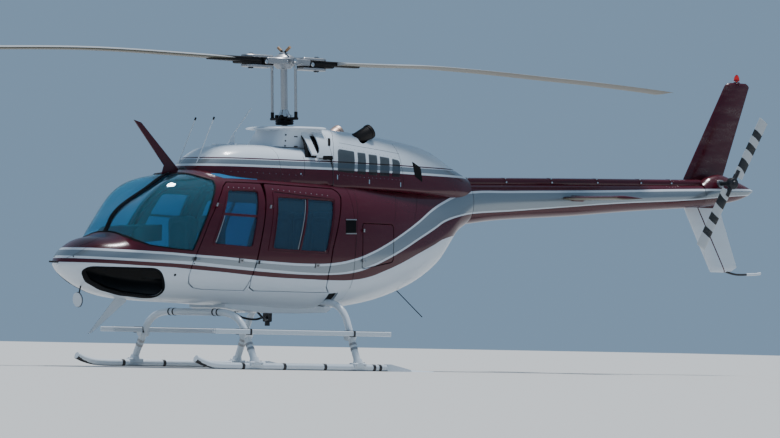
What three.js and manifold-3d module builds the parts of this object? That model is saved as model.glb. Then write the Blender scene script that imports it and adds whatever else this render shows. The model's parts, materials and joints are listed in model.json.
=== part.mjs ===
// Light five-seat turbine helicopter on high skids. Millimetres, +X to the nose, +Y to port, +Z up.
// Every table below is written from the main rotor mast (x = 0 at the hub); MAST_X moves it to the row frame.
import * as THREE from 'three';
import Module from 'manifold-3d';

const wasm = await Module();
wasm.setup();

const MAST_X = 843.4;          // the mast's x in the row frame
const GAP = 0.4;             // air left between two parts that sit on each other
const WALL = 45;             // cabin wall and door thickness
const AFT_WALL = 25;           // aft fuselage skin and its frames
const BOOM_WALL = 12;
const COWL_WALL = 14;
const PANE_FACE = 9;         // how deep a window pane sits under the skin
const PANE = 6;
const RING = 36;             // points round a body section
const BODY_STEP = 210;       // distance between body sections

// Driving dimensions
const ROTOR_RADIUS = 5080;
const HUB = [0, 0, 3067];
const MAST_BASE = [-27, 0, 2440];
const BLADE_CHORD = 330;
const TAIL_HUB = [-5915, 295, 2060];
const TAIL_RADIUS = 825;
const TAIL_CHORD = 133;
const TAIL_PHASE = 59.6;     // degrees, how the tail blades stand at rest
const SKID_Y = 979;
const SKID_R = 36;
const SKID_Z = 34;
const STEP_Y = 879;
const STEP_Z = 366;
const FRONT_TUBE_X = 1052;
const REAR_TUBE_X = -243;
const SPLIT_X = -450;        // cabin ends, aft fuselage begins
const NOSE_X = 1700;         // nose shell ends, cabin tub begins
const SILL_Z = 1165;         // cabin tub below, roof shell with its posts above
const POST_FOOT_Z = 1400;    // the windscreen's centre post belongs to the roof above this
const BOOM_X = -2380;        // aft fuselage ends, boom begins
const COWL_SPLIT_FRONT = 360;
const COWL_SPLIT_REAR = -300;

// Body sections
const HULL = [
  // station, roof z, belly z, half width, height of the widest line, upper and lower exponent
  [2795, 1010, 985, 14, 1000, 2.0, 2.0],
  [2760, 1052, 950, 110, 1000, 2.0, 2.0],
  [2660, 1138, 880, 240, 1005, 2.0, 2.0],
  [2460, 1240, 775, 385, 1020, 2.1, 2.1],
  [2185, 1305, 692, 505, 1050, 2.2, 2.3],
  [2090, 1480, 676, 535, 1062, 2.1, 2.35],
  [1960, 1625, 662, 565, 1080, 2.15, 2.4],
  [1730, 1795, 650, 605, 1105, 2.35, 2.5],
  [1490, 1905, 642, 635, 1125, 2.6, 2.6],
  [1200, 1960, 634, 655, 1140, 2.9, 2.6],
  [700, 1965, 605, 662, 1150, 3.0, 2.6],
  [0, 1950, 577, 662, 1160, 3.0, 2.6],
  [-500, 1935, 592, 640, 1170, 3.0, 2.5],
  [-1000, 1915, 640, 565, 1200, 2.9, 2.3],
  [-1500, 1900, 785, 440, 1280, 2.7, 2.1],
  [-1900, 1905, 1015, 320, 1420, 2.4, 2.0],
  [-2200, 1925, 1330, 230, 1620, 2.2, 2.1],
  [-2380, 1942, 1519, 184, 1732, 2.2, 2.2],
];
const BOOM = [
  [-2380, 1942, 1519, 184, 1732, 2.2, 2.2],
  [-2777, 1955, 1570, 176, 1762, 2.1, 2.1],
  [-3854, 1988, 1650, 155, 1819, 2.0, 2.0],
  [-4664, 2015, 1723, 138, 1869, 2.0, 2.0],
  [-5700, 2044, 1800, 118, 1922, 2.0, 2.0],
];
const TAIL_POD = [
  [-5700, 2060, 1800, 119, 1930, 2.0, 2.0],
  [-5820, 2129, 1815, 119, 1955, 2.0, 2.0],
  [-5980, 2160, 1838, 114, 1985, 2.0, 2.0],
  [-6150, 2123, 1868, 98, 1990, 2.0, 2.0],
  [-6270, 2084, 1895, 80, 1992, 2.0, 2.0],
  [-6400, 2040, 1940, 48, 1994, 2.0, 2.0],
  [-6484, 2006, 1988, 12, 1997, 2.0, 2.0],
];
const FRONT_COWL = [
  [1250, 1975, 1800, 130, 1850, 2.2, 2.0],
  [1190, 2045, 1800, 250, 1850, 2.3, 2.0],
  [1100, 2105, 1800, 335, 1850, 2.5, 2.0],
  [910, 2193, 1800, 415, 1850, 2.8, 2.0],
  [700, 2220, 1800, 440, 1850, 3.0, 2.0],
  [454, 2229, 1800, 450, 1850, 3.0, 2.0],
  [-500, 2232, 1800, 456, 1850, 3.0, 2.0],
];
const ROOF_PLATE = [
  [336, 2399, 2391, 60, 2395, 2.0, 2.0],
  [326, 2408, 2384, 150, 2396, 2.0, 2.0],
  [290, 2418, 2380, 232, 2398, 2.2, 2.0],
  [200, 2426, 2380, 277, 2400, 2.6, 2.0],
  [0, 2433, 2384, 300, 2404, 2.8, 2.0],
  [-300, 2436, 2388, 330, 2408, 2.8, 2.0],
];
const ENGINE_COWL = [
  [-50, 2436, 1780, 460, 1830, 2.6, 2.0],
  [-300, 2432, 1780, 460, 1830, 2.6, 2.0],
  [-643, 2410, 1780, 460, 1830, 2.6, 2.0],
  [-897, 2396, 1780, 452, 1830, 2.5, 2.0],
  [-1196, 2364, 1780, 425, 1830, 2.4, 2.0],
  [-1584, 2314, 1760, 360, 1830, 2.2, 2.0],
  [-1798, 2269, 1740, 318, 1840, 2.1, 2.0],
  [-2141, 2105, 1720, 235, 1850, 2.1, 2.0],
  [-2378, 2002, 1700, 150, 1850, 2.1, 2.0],
];
const SHAFT_COVER = [
  [-2379, 2002, 1900, 62, 1950, 2.6, 2.0],
  [-3683, 2042, 1940, 60, 1990, 2.6, 2.0],
  [-5483, 2091, 1990, 54, 2040, 2.6, 2.0],
  [-5699, 2097, 2000, 50, 2046, 2.6, 2.0],
];

// Outlines seen from the side, x and z
const FRONT_DOOR = [[1065, 1829], [1130, 1782], [1215, 1670], [1365, 1437], [1505, 1140], [1560, 1010],
  [1575, 900], [1546, 828], [1470, 786], [1350, 773], [871, 772], [668, 1645], [652, 1829]];
const FRONT_HOLE_CORNERS = [[[1300, 752], [1500, 752], [1572, 803], [1540, 900], [1300, 900]],
  [[600, 1836.5], [720, 1836.5], [720, 1500], [680, 1500]], [[855, 754], [882, 754], [850, 905], [820, 905]]];
const FRONT_DOOR_GAPS = [7, 7, 7, 7, 7, 8, 14, 18, 20, 20, 13, 13, 8];
const REAR_DOOR = [[612, 1829], [830, 892], [812, 800], [740, 772], [-180, 772], [-125, 820], [-112, 960],
  [-150, 1207], [-254, 1542], [-317, 1732], [-300, 1775], [-250, 1805]];
const REAR_DOOR_GAPS = [7, 12, 20, 20, 16, 13, 13, 14, 17, 19, 19, 10];
const FRONT_WINDOW = [[1085, 1752], [734, 1752], [862, 1200], [1318, 1222]];
const REAR_WINDOW = [[497, 1705], [-204, 1688], [-75, 1176], [600, 1193]];
const WINDSCREEN = [[1560, 1158], [2160, 1172], [2176, 1260], [2176, 2150], [1470, 2150], [1470, 1925],
  [1205, 1845], [1215, 1790], [1320, 1610], [1436, 1392]];
const CHIN_WINDOW = [[2600, 905], [2590, 960], [2266, 956], [1944, 950], [1822, 850], [1800, 740],
  [1900, 712], [2121, 718], [2398, 793], [2560, 868]];
const BAGGAGE_DOOR = [[-560, 1470], [-560, 1020], [-1010, 1100], [-1010, 1470]];
const BAGGAGE_GAPS = [7, 14, 20, 8];
const FIN = [
  // height, leading edge x, trailing edge x
  [1112, -6032, -6310],
  [1170, -6006, -6416],
  [1790, -5623, -6145],
  [2093, -5598, -6176],
  [2155, -5634, -6186],
  [3120, -6181, -6545],
  [3171, -6262, -6500],
];
const FIN_Y = -145;
const FIN_THICKNESS = 54;
const RAISED_WALL = [[277, 2190], [255, 2235], [165, 2378], [150, 2400], [-300, 2400], [-300, 2190]];
const RAISED_HALF = 260;
const HOOD = [[-298, 2180], [-298, 2440], [-100, 2440], [-115, 2375], [-212, 2170]];
const STRUT = [[12, 2395], [-52, 2395], [-172, 2150], [-108, 2150]];
const BELLY_PAN = [[900, 640], [900, 600], [850, 588], [360, 556], [-50, 560], [-380, 575], [-430, 606],
  [-430, 640]];
const BELLY_PAN_HALF = 300;
const LEG = [[0, 585], [340, 585], [480, 575], [620, 532], [745, 445], [845, 320], [925, 200], [968, 128],
  [979, 90], [981, 60]];
const REAR_LEG = [[0, 675], [400, 668], [500, 635], [620, 565], [745, 460], [845, 325], [925, 200],
  [968, 128], [979, 90], [981, 60]];
const SKID_LINE = [[-620, 0], [0, 0], [600, 0], [1400, 0], [1560, 8], [1690, 36], [1770, 66]];
const SKID_TAIL = [
  // station, half width, height above the ground
  [-598, 37, 70],
  [-640, 40, 72],
  [-870, 80, 20],
  [-1170, 76, 7],
];
const BLADE_LINE = [[620, 3086], [1250, 3092], [1910, 3096], [2440, 3090], [3000, 3068], [3460, 3044],
  [4100, 3014], [5080, 2958]];
const REAR_LINE = [[-620, 3084], [-1250, 3098], [-1780, 3112], [-2550, 3101], [-3340, 3075], [-4140, 3048],
  [-4960, 3007], [-5080, 2998]];
const UPPER_CUTTER = [[1290, 1900], [1330, 1990], [1760, 2396], [1850, 2419], [1470, 1985], [1500, 1860]];
const LOWER_CUTTER = [[2040, 760], [2040, 658], [2350, 316], [2300, 330], [1900, 660], [1900, 760]];
const HINGES = {
  // a point on the pin, the pin's lean in x for each mm up, and the heights of the two hinges
  front: { at: [1510, 650, 1140], lean: -0.471, heights: [1065, 1600], arm: [24, 56] },
  rear: { at: [758.8, 674, 1140], lean: -0.2327, heights: [1050, 1600], arm: [14, 26] },
  baggage: { at: [-555, 652, 1245], lean: 0, heights: [1100, 1400], arm: [12, 20] },
};
const PIN_R = 5.5;
const KNUCKLE_R = 11;
const LUG_R = 9.5;
const LUG_END = 37;          // how far a hinge reaches above and below its middle
const KNUCKLE_HALF = 16;
const POST = 26;             // half width of the windscreen's centre post

// Materials
const paint = (color, roughness = 0.35, metalness = 0.2) => new THREE.MeshStandardMaterial({
  color, roughness, metalness,
});
const MAROON = paint(0x5a1020);
const WHITE = paint(0xe9ebee, 0.4, 0.0);
const SILVER = paint(0x9aa2aa, 0.35, 0.5);
const BLACK = paint(0x18191b, 0.6, 0.1);
const GREY = paint(0x8b9095, 0.45, 0.6);
const STEEL = paint(0xb5b9bd, 0.3, 0.9);
const GLASS = new THREE.MeshStandardMaterial({
  color: 0x2c4c66, roughness: 0.08, transparent: true, opacity: 0.45,
});
const SEAT = paint(0x3c3f45, 0.85, 0.0);

// Curves
function slopes(x, y) {
  const n = x.length;
  const h = [];
  const d = [];
  for (let i = 0; i < n - 1; i++) {
    h.push(x[i + 1] - x[i]);
    d.push((y[i + 1] - y[i]) / h[i]);
  }
  const m = new Array(n).fill(0);
  m[0] = d[0];
  m[n - 1] = d[n - 2];
  for (let i = 1; i < n - 1; i++) {
    if (d[i - 1] * d[i] > 0) {
      const a = 2 * h[i] + h[i - 1];
      const b = h[i] + 2 * h[i - 1];
      m[i] = (a + b) / (a / d[i - 1] + b / d[i]);
    }
  }
  return m;
}

function sampler(table) {
  // smooth row values at any station, never past the rows next to it
  const rows = [...table].sort((a, b) => a[0] - b[0]);
  const x = rows.map((r) => r[0]);
  const columns = rows[0].slice(1).map((_, k) => rows.map((r) => r[k + 1]));
  const tangents = columns.map((c) => slopes(x, c));
  return (at) => {
    const s = Math.min(Math.max(at, x[0]), x[x.length - 1]);
    let i = 0;
    while (i < x.length - 2 && s > x[i + 1]) {
      i++;
    }
    const h = x[i + 1] - x[i];
    const t = (s - x[i]) / h;
    const t2 = t * t;
    const t3 = t2 * t;
    return columns.map((c, k) => (2 * t3 - 3 * t2 + 1) * c[i] + (t3 - 2 * t2 + t) * h * tangents[k][i]
      + (3 * t2 - 2 * t3) * c[i + 1] + (t3 - t2) * h * tangents[k][i + 1]);
  };
}

function section(values, x, inset, count = RING) {
  const [top, bottom, width, middle, upper, lower] = values;
  const ring = [];
  for (let k = 0; k < count; k++) {
    const a = (k / count) * Math.PI * 2;
    const c = Math.cos(a);
    const s = Math.sin(a);
    const e = 2 / (s >= 0 ? upper : lower);
    const rise = s >= 0 ? top - inset - middle : middle - bottom - inset;
    const y = (width - inset) * Math.sign(c) * Math.abs(c) ** e;
    const z = middle + rise * Math.sign(s) * Math.abs(s) ** e;
    ring.push([x, y, z]);
  }
  return ring;
}

function stations(from, to, step) {
  const count = Math.max(1, Math.round(Math.abs(to - from) / step));
  return Array.from({ length: count + 1 }, (_, i) => from + ((to - from) * i) / count);
}

// Solids
function solidOf(positions, triangles) {
  // welds equal corners, turns the faces outward, hands over a closed solid
  const seen = new Map();
  const map = [];
  const verts = [];
  for (let i = 0; i < positions.length; i += 3) {
    const key = [0, 1, 2].map((k) => Math.round(positions[i + k] * 1000)).join(',');
    if (!seen.has(key)) {
      seen.set(key, verts.length / 3);
      verts.push(positions[i], positions[i + 1], positions[i + 2]);
    }
    map.push(seen.get(key));
  }
  let faces = [];
  for (let i = 0; i < triangles.length; i += 3) {
    const [a, b, c] = [map[triangles[i]], map[triangles[i + 1]], map[triangles[i + 2]]];
    if (a !== b && b !== c && a !== c) {
      faces.push(a, b, c);
    }
  }
  let volume = 0;
  for (let i = 0; i < faces.length; i += 3) {
    const [p, q, r] = faces.slice(i, i + 3).map((v) => new THREE.Vector3(...verts.slice(3 * v, 3 * v + 3)));
    volume += p.dot(q.cross(r));
  }
  if (volume < 0) {
    const turned = [];
    for (let i = 0; i < faces.length; i += 3) {
      turned.push(faces[i], faces[i + 2], faces[i + 1]);
    }
    faces = turned;
  }
  return new wasm.Manifold(new wasm.Mesh({
    numProp: 3, vertProperties: new Float32Array(verts), triVerts: new Uint32Array(faces),
  }));
}

function solidFrom(geometry) {
  const flat = geometry.index ? geometry.toNonIndexed() : geometry;
  const positions = Array.from(flat.attributes.position.array);
  return solidOf(positions, Array.from({ length: positions.length / 3 }, (_, i) => i));
}

function loft(rings) {
  // rings of equal length, closed at both ends by a fan
  const n = rings[0].length;
  const positions = rings.flat(2);
  const faces = [];
  for (let r = 0; r < rings.length - 1; r++) {
    for (let k = 0; k < n; k++) {
      const a = r * n + k;
      const b = r * n + ((k + 1) % n);
      faces.push(a, b, b + n, a, b + n, a + n);
    }
  }
  const ends = [[rings[0], 0, 1], [rings[rings.length - 1], (rings.length - 1) * n, -1]];
  for (const [ring, start, side] of ends) {
    const centre = positions.length / 3;
    const sum = ring.reduce((m, p) => [m[0] + p[0] / n, m[1] + p[1] / n, m[2] + p[2] / n], [0, 0, 0]);
    positions.push(...sum);
    for (let k = 0; k < n; k++) {
      const a = start + k;
      const b = start + ((k + 1) % n);
      faces.push(...(side > 0 ? [centre, b, a] : [centre, a, b]));
    }
  }
  return solidOf(positions, faces);
}

function bodyLoft(table, inset, from, to, step, count = RING) {
  // a section at every row of the table and between rows that are far apart
  const at = sampler(table);
  const low = Math.min(from, to);
  const high = Math.max(from, to);
  const rows = table.map((r) => r[0]).filter((x) => x > low + 20 && x < high - 20);
  const marks = [high, ...rows.sort((a, b) => b - a), low];
  const list = [high];
  for (let i = 1; i < marks.length; i++) {
    list.push(...stations(marks[i - 1], marks[i], step).slice(1));
  }
  return loft(list.map((x) => section(at(x), x, inset, count)));
}

function box(x0, x1, y0, y1, z0, z1) {
  const g = new THREE.BoxGeometry(x1 - x0, y1 - y0, z1 - z0);
  g.translate((x0 + x1) / 2, (y0 + y1) / 2, (z0 + z1) / 2);
  return solidFrom(g);
}

function prismXZ(points, y0, y1) {
  // a side outline carried across the body from y0 to y1
  const g = new THREE.ExtrudeGeometry(new THREE.Shape(points.map((p) => new THREE.Vector2(p[0], p[1]))),
    { depth: y1 - y0, bevelEnabled: false });
  g.rotateX(Math.PI / 2);
  g.translate(0, y1, 0);
  return solidFrom(g);
}

function prismXY(points, z0, z1) {
  const g = new THREE.ExtrudeGeometry(new THREE.Shape(points.map((p) => new THREE.Vector2(p[0], p[1]))),
    { depth: z1 - z0, bevelEnabled: false });
  g.translate(0, 0, z0);
  return solidFrom(g);
}

function rod(from, to, radius, sides = 20, radiusEnd = radius) {
  const a = new THREE.Vector3(...from);
  const b = new THREE.Vector3(...to);
  const g = new THREE.CylinderGeometry(radiusEnd, radius, a.distanceTo(b), sides);
  const along = b.clone().sub(a).normalize();
  g.applyQuaternion(new THREE.Quaternion().setFromUnitVectors(new THREE.Vector3(0, 1, 0), along));
  g.translate((a.x + b.x) / 2, (a.y + b.y) / 2, (a.z + b.z) / 2);
  return solidFrom(g);
}

function tube(points, radius, steps, sides = 16) {
  const curve = new THREE.CatmullRomCurve3(points.map((p) => new THREE.Vector3(...p)), false, 'centripetal');
  const shape = new THREE.Shape();
  shape.absarc(0, 0, radius, 0, Math.PI * 2, false);
  const g = new THREE.ExtrudeGeometry(shape, {
    steps, extrudePath: curve, curveSegments: sides / 2, bevelEnabled: false,
  });
  return solidFrom(g);
}

function grow(points, distances) {
  // moves each edge outward by its own distance and meets the neighbours again
  const n = points.length;
  let area = 0;
  points.forEach((p, i) => {
    const q = points[(i + 1) % n];
    area += p[0] * q[1] - q[0] * p[1];
  });
  const turn = area > 0 ? 1 : -1;
  const edges = points.map((p, i) => {
    const q = points[(i + 1) % n];
    const length = Math.hypot(q[0] - p[0], q[1] - p[1]);
    const nx = (turn * (q[1] - p[1])) / length;
    const nz = (-turn * (q[0] - p[0])) / length;
    const d = Array.isArray(distances) ? distances[i] : distances;
    return { nx, nz, c: nx * p[0] + nz * p[1] + d };
  });
  return points.map((p, i) => {
    const a = edges[(i + n - 1) % n];
    const b = edges[i];
    const det = a.nx * b.nz - b.nx * a.nz;
    if (Math.abs(det) < 1e-6) {
      const off = b.c - b.nx * p[0] - b.nz * p[1];
      return [p[0] + b.nx * off, p[1] + b.nz * off];
    }
    return [(a.c * b.nz - b.c * a.nz) / det, (a.nx * b.c - b.nx * a.c) / det];
  });
}

function rounded(points, radius, steps = 4) {
  const out = [];
  const n = points.length;
  points.forEach((p, i) => {
    const before = points[(i + n - 1) % n];
    const after = points[(i + 1) % n];
    const r = Array.isArray(radius) ? radius[i] : radius;
    const toward = (q) => {
      const length = Math.hypot(q[0] - p[0], q[1] - p[1]);
      const share = Math.min(r, length / 2.2) / length;
      return [p[0] + (q[0] - p[0]) * share, p[1] + (q[1] - p[1]) * share];
    };
    const a = toward(before);
    const b = toward(after);
    for (let k = 0; k <= steps; k++) {
      const t = k / steps;
      out.push([0, 1].map((c) => (1 - t) * (1 - t) * a[c] + 2 * t * (1 - t) * p[c] + t * t * b[c]));
    }
  });
  return out;
}

function foil(chord, thickness, count = 24, fat = 0) {
  // leading edge at +chord * 0.25, trailing edge behind, a symmetric wing section
  const ring = [];
  for (let k = 0; k < count; k++) {
    const a = (k / count) * Math.PI * 2;
    const s = (1 - Math.cos(a)) / 2;
    const curve = 0.2969 * Math.sqrt(s) - 0.126 * s - 0.3516 * s ** 2 + 0.2843 * s ** 3 - 0.1015 * s ** 4;
    const half = Math.max(5 * thickness * chord * curve, 1.0) + fat;
    ring.push([chord * (0.25 - s) + fat * Math.sign(Math.cos(a)), Math.sign(Math.sin(a)) * half]);
  }
  return ring;
}

const mirrored = (solid) => solid.mirror([0, 1, 0]);
const join = (...solids) => solids.reduce((a, b) => a.add(b));
const both = (solid) => join(solid, mirrored(solid));

const group = new THREE.Group();
group.name = 'helicopter';

function place(name, solid, material) {
  const mesh = solid.getMesh();
  const geometry = new THREE.BufferGeometry();
  geometry.setAttribute('position', new THREE.BufferAttribute(new Float32Array(mesh.vertProperties), 3));
  geometry.setIndex(Array.from(mesh.triVerts));
  geometry.translate(MAST_X, 0, 0);
  geometry.computeVertexNormals();
  const node = new THREE.Mesh(geometry, material);
  node.name = name;
  group.add(node);
}

function pair(stem, solid, material) {
  place(`${stem}_left`, solid, material);
  place(`${stem}_right`, mirrored(solid), material);
}

// Hinges: a pin held by two lugs on the body, and a knuckle on the door's arm
function hingePoint({ at, lean }, z) {
  return [at[0] + lean * (z - at[2]), at[1], z];
}

function leaningBox(hinge, x0, x1, z0, z1, y0, y1) {
  // a box whose x is counted from the hinge's leaning pin
  const at = (z) => hingePoint(hinge, z)[0];
  return prismXZ([[at(z0) + x0, z0], [at(z0) + x1, z0], [at(z1) + x1, z1], [at(z1) + x0, z1]], y0, y1);
}

function hingePins(hinge, skinDepth, from, to) {
  // each lug runs from the pin to the body's edge ahead of it, then in through the seam to the frame
  const y = hinge.at[1];
  const lug = (z0, z1) => join(
    rod(hingePoint(hinge, z0), hingePoint(hinge, z1), LUG_R, 14),
    leaningBox(hinge, 0, to, z0, z1, y - 6, y + 9),
    leaningBox(hinge, from, to, z0, z1, y - skinDepth, y + 9),
  );
  return join(...hinge.heights.map((z) => join(
    rod(hingePoint(hinge, z - LUG_END), hingePoint(hinge, z + LUG_END), PIN_R, 12),
    lug(z + KNUCKLE_HALF + 8, z + LUG_END),
    lug(z - LUG_END, z - KNUCKLE_HALF - 8),
  )));
}

function hingeKnuckles(hinge, skinDepth) {
  const back = hinge.arm[1];
  return join(...hinge.heights.map((z) => {
    const c = hingePoint(hinge, z);
    const low = hingePoint(hinge, z - KNUCKLE_HALF);
    const high = hingePoint(hinge, z + KNUCKLE_HALF);
    const arm = join(box(c[0] - back - 26, c[0], c[1] - 1, c[1] + 9, z - 12, z + 12),
      box(c[0] - back - 26, c[0] - back, c[1] - skinDepth, c[1] + 5, z - 12, z + 12));
    const bore = rod(hingePoint(hinge, z - 40), hingePoint(hinge, z + 40), PIN_R + 0.8, 12);
    return join(rod(low, high, KNUCKLE_R, 14), arm).subtract(bore);
  }));
}

// Fuselage
const SIDE = [250, 900];       // y range of a cut through one side of the cabin
const hull = bodyLoft(HULL, 0, 2795, BOOM_X, BODY_STEP);
const hullGrown = bodyLoft(HULL, -GAP, 2795, BOOM_X, BODY_STEP);
const inner = bodyLoft(HULL, WALL, 2640, SPLIT_X + WALL, 400, 24);
const innerAft = bodyLoft(HULL, AFT_WALL, SPLIT_X, BOOM_X + 60, 500, 20);
const skin = hull.subtract(inner);

const paneLayer = bodyLoft(HULL, PANE_FACE, 2760, SPLIT_X, 400, 24)
  .subtract(bodyLoft(HULL, PANE_FACE + PANE, 2740, SPLIT_X - 1, 400, 24));
const pane = (points, radius) => paneLayer.intersect(prismXZ(grow(rounded(points, radius), -GAP), ...SIDE));

const frontDoorHole = join(prismXZ(grow(FRONT_DOOR, FRONT_DOOR_GAPS), 300, 900),
  ...FRONT_HOLE_CORNERS.map((corner) => prismXZ(corner, 300, 900)));
const rearDoorHole = prismXZ(grow(REAR_DOOR, REAR_DOOR_GAPS), 300, 900);
const windscreenHole = prismXZ(WINDSCREEN, POST, 900);
const chinHole = prismXZ(rounded(CHIN_WINDOW, 40, 2), 120, 900);
const cabinHoles = both(join(frontDoorHole, rearDoorHole, windscreenHole, chinHole));
const rearSlot = both(box(REAR_TUBE_X - 46, REAR_TUBE_X + 46, 180, 700, 540, 740));

const pillarBand = (from, to) => bodyLoft(HULL, from, 900, 500, 400, 24)
  .subtract(bodyLoft(HULL, to, 910, 490, 400, 24));
const PILLAR = [[560, 1900], [660, 1900], [912, 700], [812, 700]];
const pillarStrip = prismXZ(PILLAR, 300, 900);
const pillarMiddle = prismXZ([[400, 748], [400, 1842], [1000, 1842], [1000, 748]], 200, 950);
const pillar = join(
  pillarBand(WALL + 13, WALL + 54).intersect(pillarStrip),
  pillarBand(WALL - 6, WALL + 54).intersect(pillarStrip).subtract(pillarMiddle),
);
const bellyPan = prismXZ(BELLY_PAN, -BELLY_PAN_HALF, BELLY_PAN_HALF).subtract(inner);
const hook = join(box(105, 175, -30, 30, 470, 600), rod([140, 0, 480], [140, 0, 430], 26, 8));
const cabin = join(skin.intersect(box(SPLIT_X, 2800, -900, 900, 0, 2500)), both(pillar)).subtract(cabinHoles)
  .add(both(pillar))
  .add(bellyPan)
  .subtract(rearSlot)
  .add(hook.subtract(inner));
const mirrorStalk = rod([2475, 0, 660], [2440, 0, 800], 8, 8);
const mirrorDisc = rod([2480, 0, 645], [2468, 0, 646], 75, 14);
const pitot = rod([2740, 0, 1004], [2828, 0, 1007], 9, 8);
const shellPins = join(hingePins(HINGES.front, 90, 6, 42).subtract(inner).subtract(windscreenHole),
  hingePins(HINGES.rear, 130, 17.5, 22.5));
const shell = join(cabin, both(shellPins));
place('nose_shell', join(shell, pitot, mirrorStalk, mirrorDisc).subtract(inner)
  .intersect(box(NOSE_X + GAP, 2840, -900, 900, 0, POST_FOOT_Z)), MAROON);
place('cabin_tub', shell.intersect(box(SPLIT_X, NOSE_X, -900, 900, 0, SILL_Z)), MAROON);
place('cabin_roof', shell.intersect(join(
  box(SPLIT_X, NOSE_X, -900, 900, SILL_Z + GAP, 2500),
  box(NOSE_X - 1, 2800, -900, 900, POST_FOOT_Z + GAP, 2500),
)), MAROON);

const baggageHole = prismXZ(rounded(grow(BAGGAGE_DOOR, BAGGAGE_GAPS), 40, 3), ...SIDE);
const aft = hull.intersect(box(BOOM_X, SPLIT_X - GAP, -900, 900, 0, 2500)).subtract(innerAft);
const aftPins = hingePins(HINGES.baggage, 60, 3, 36).subtract(innerAft);
const bellyWhip = rod([-1500, 0, 835], [-1870, 0, 554], 5, 6).subtract(innerAft);
place('aft_fuselage', join(aft.subtract(baggageHole), aftPins, bellyWhip), MAROON);
place('baggage_door', join(
  hull.subtract(innerAft).intersect(prismXZ(rounded(BAGGAGE_DOOR, 40, 3), ...SIDE)),
  hingeKnuckles(HINGES.baggage, 40).subtract(innerAft),
), MAROON);

function doorLeaf(outline, window, hinge) {
  const leaf = skin.intersect(prismXZ(outline, 300, 900)).subtract(prismXZ(rounded(window, 35), ...SIDE));
  return join(leaf, hingeKnuckles(hinge, 90).subtract(inner));
}
const notch = (z) => leaningBox(HINGES.rear, 14, 40, z - 48, z + 48, 300, 900);
const seamNotch = join(...HINGES.rear.heights.map(notch))
  .intersect(bodyLoft(HULL, 7, 900, 500, 400, 24));
pair('front_door', doorLeaf(FRONT_DOOR, FRONT_WINDOW, HINGES.front).subtract(seamNotch), MAROON);
pair('rear_door', doorLeaf(REAR_DOOR, REAR_WINDOW, HINGES.rear), MAROON);
pair('front_door_window', pane(FRONT_WINDOW, 35), GLASS);
pair('rear_door_window', pane(REAR_WINDOW, 35), GLASS);
pair('windscreen', paneLayer.intersect(prismXZ(grow(WINDSCREEN, -GAP), POST + GAP, 900)), GLASS);
const chinPane = prismXZ(grow(rounded(CHIN_WINDOW, 40, 2), -GAP), 120 + GAP, 900);
pair('chin_window', paneLayer.intersect(chinPane), GLASS);

// Cabin inside
const FLOOR_Z = 820;
const cabinRoom = bodyLoft(HULL, WALL + GAP, 2640, SPLIT_X + WALL + GAP, 400, 24);
const narrowRoom = bodyLoft(HULL, WALL + 10, 2640, SPLIT_X + WALL + GAP, 400, 24);
const pillarRoom = pillarBand(WALL + 13 - GAP, WALL + 54 + GAP).intersect(prismXZ(grow(PILLAR, 5), 300, 900));
const floorBox = box(SPLIT_X, 2230, -700, 700, FLOOR_Z - 30, FLOOR_Z);
const floorEnds = join(box(1640, 2300, -700, 700, 700, 900), box(SPLIT_X, -250, -700, 700, 700, 900));
const floor = join(floorBox.intersect(narrowRoom), floorBox.intersect(cabinRoom).intersect(floorEnds))
  .subtract(both(pillarRoom));
place('cabin_floor', floor, GREY);
const frontSeat = join(box(1080, 1500, 60, 420, FLOOR_Z + GAP, 1080), box(980, 1110, 60, 420, 900, 1520));
pair('front_seat', frontSeat, SEAT);
const bench = join(box(-330, 170, -470, 470, FLOOR_Z + GAP, 1090), box(-390, -250, -450, 450, 1000, 1600));
place('rear_bench', bench.intersect(cabinRoom), SEAT);
const panelTop = prismXZ([[1700, 1240], [2080, 1200], [2080, 1290], [1980, 1370], [1700, 1395]], -300, 300);
const panel = join(box(1800, 2060, -110, 110, FLOOR_Z + GAP, 1250), panelTop)
  .intersect(bodyLoft(HULL, WALL + 10, 2640, 0, 120));
place('instrument_panel', panel, BLACK);

// Cowlings
const frontCowlSolid = bodyLoft(FRONT_COWL, 0, 1250, COWL_SPLIT_REAR + GAP, 900, 26);
const frontCowlRoom = bodyLoft(FRONT_COWL, COWL_WALL, 1160, COWL_SPLIT_REAR - 10, 900, 22);
const engineSolid = bodyLoft(ENGINE_COWL, 0, -50, -2378, 400, 24);
const engineRoom = bodyLoft(ENGINE_COWL, COWL_WALL, -60, -2280, 500, 20);
const raisedWall = prismXZ(RAISED_WALL, -RAISED_HALF, RAISED_HALF);
const raisedRoom = prismXZ(grow(RAISED_WALL, [-1, -1, -1, -1, 1, 1].map((way) => way * COWL_WALL)),
  COWL_WALL - RAISED_HALF, RAISED_HALF - COWL_WALL);
const roofPlate = bodyLoft(ROOF_PLATE, 0, 336, COWL_SPLIT_REAR + GAP, 900, 20);
const hoodRoom = prismXZ(grow(HOOD, [20, ...Array(4).fill(-COWL_WALL)]), -600, 600);
const hood = engineSolid.subtract(engineRoom.intersect(hoodRoom))
  .intersect(prismXZ(HOOD, -600, 600));
const strut = prismXZ(STRUT, 285, 352);
const mastHole = rod([-70, 0, 1450], [20, 0, 3530], 48, 20);
const frontHalf = box(COWL_SPLIT_FRONT + GAP, 1400, -600, 600, 1500, 2600);
const rearHalf = box(COWL_SPLIT_REAR + GAP, COWL_SPLIT_FRONT, -600, 600, 1500, 2600);
const mainAntenna = join(rod([640, 0, 2300], [404, 0, 2592], 6, 6),
  prismXZ([[715, 2190], [602, 2190], [602, 2305], [622, 2332]], -5, 5));
const whip = rod([1196, 150, 1985], [984, 150, 2460], 5, 6);
const forward = join(frontCowlSolid.intersect(frontHalf), mainAntenna, both(whip)).subtract(frontCowlRoom);
place('forward_fairing', forward.subtract(hullGrown), WHITE);
const transmissionRoom = join(frontCowlRoom, raisedRoom);
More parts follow.
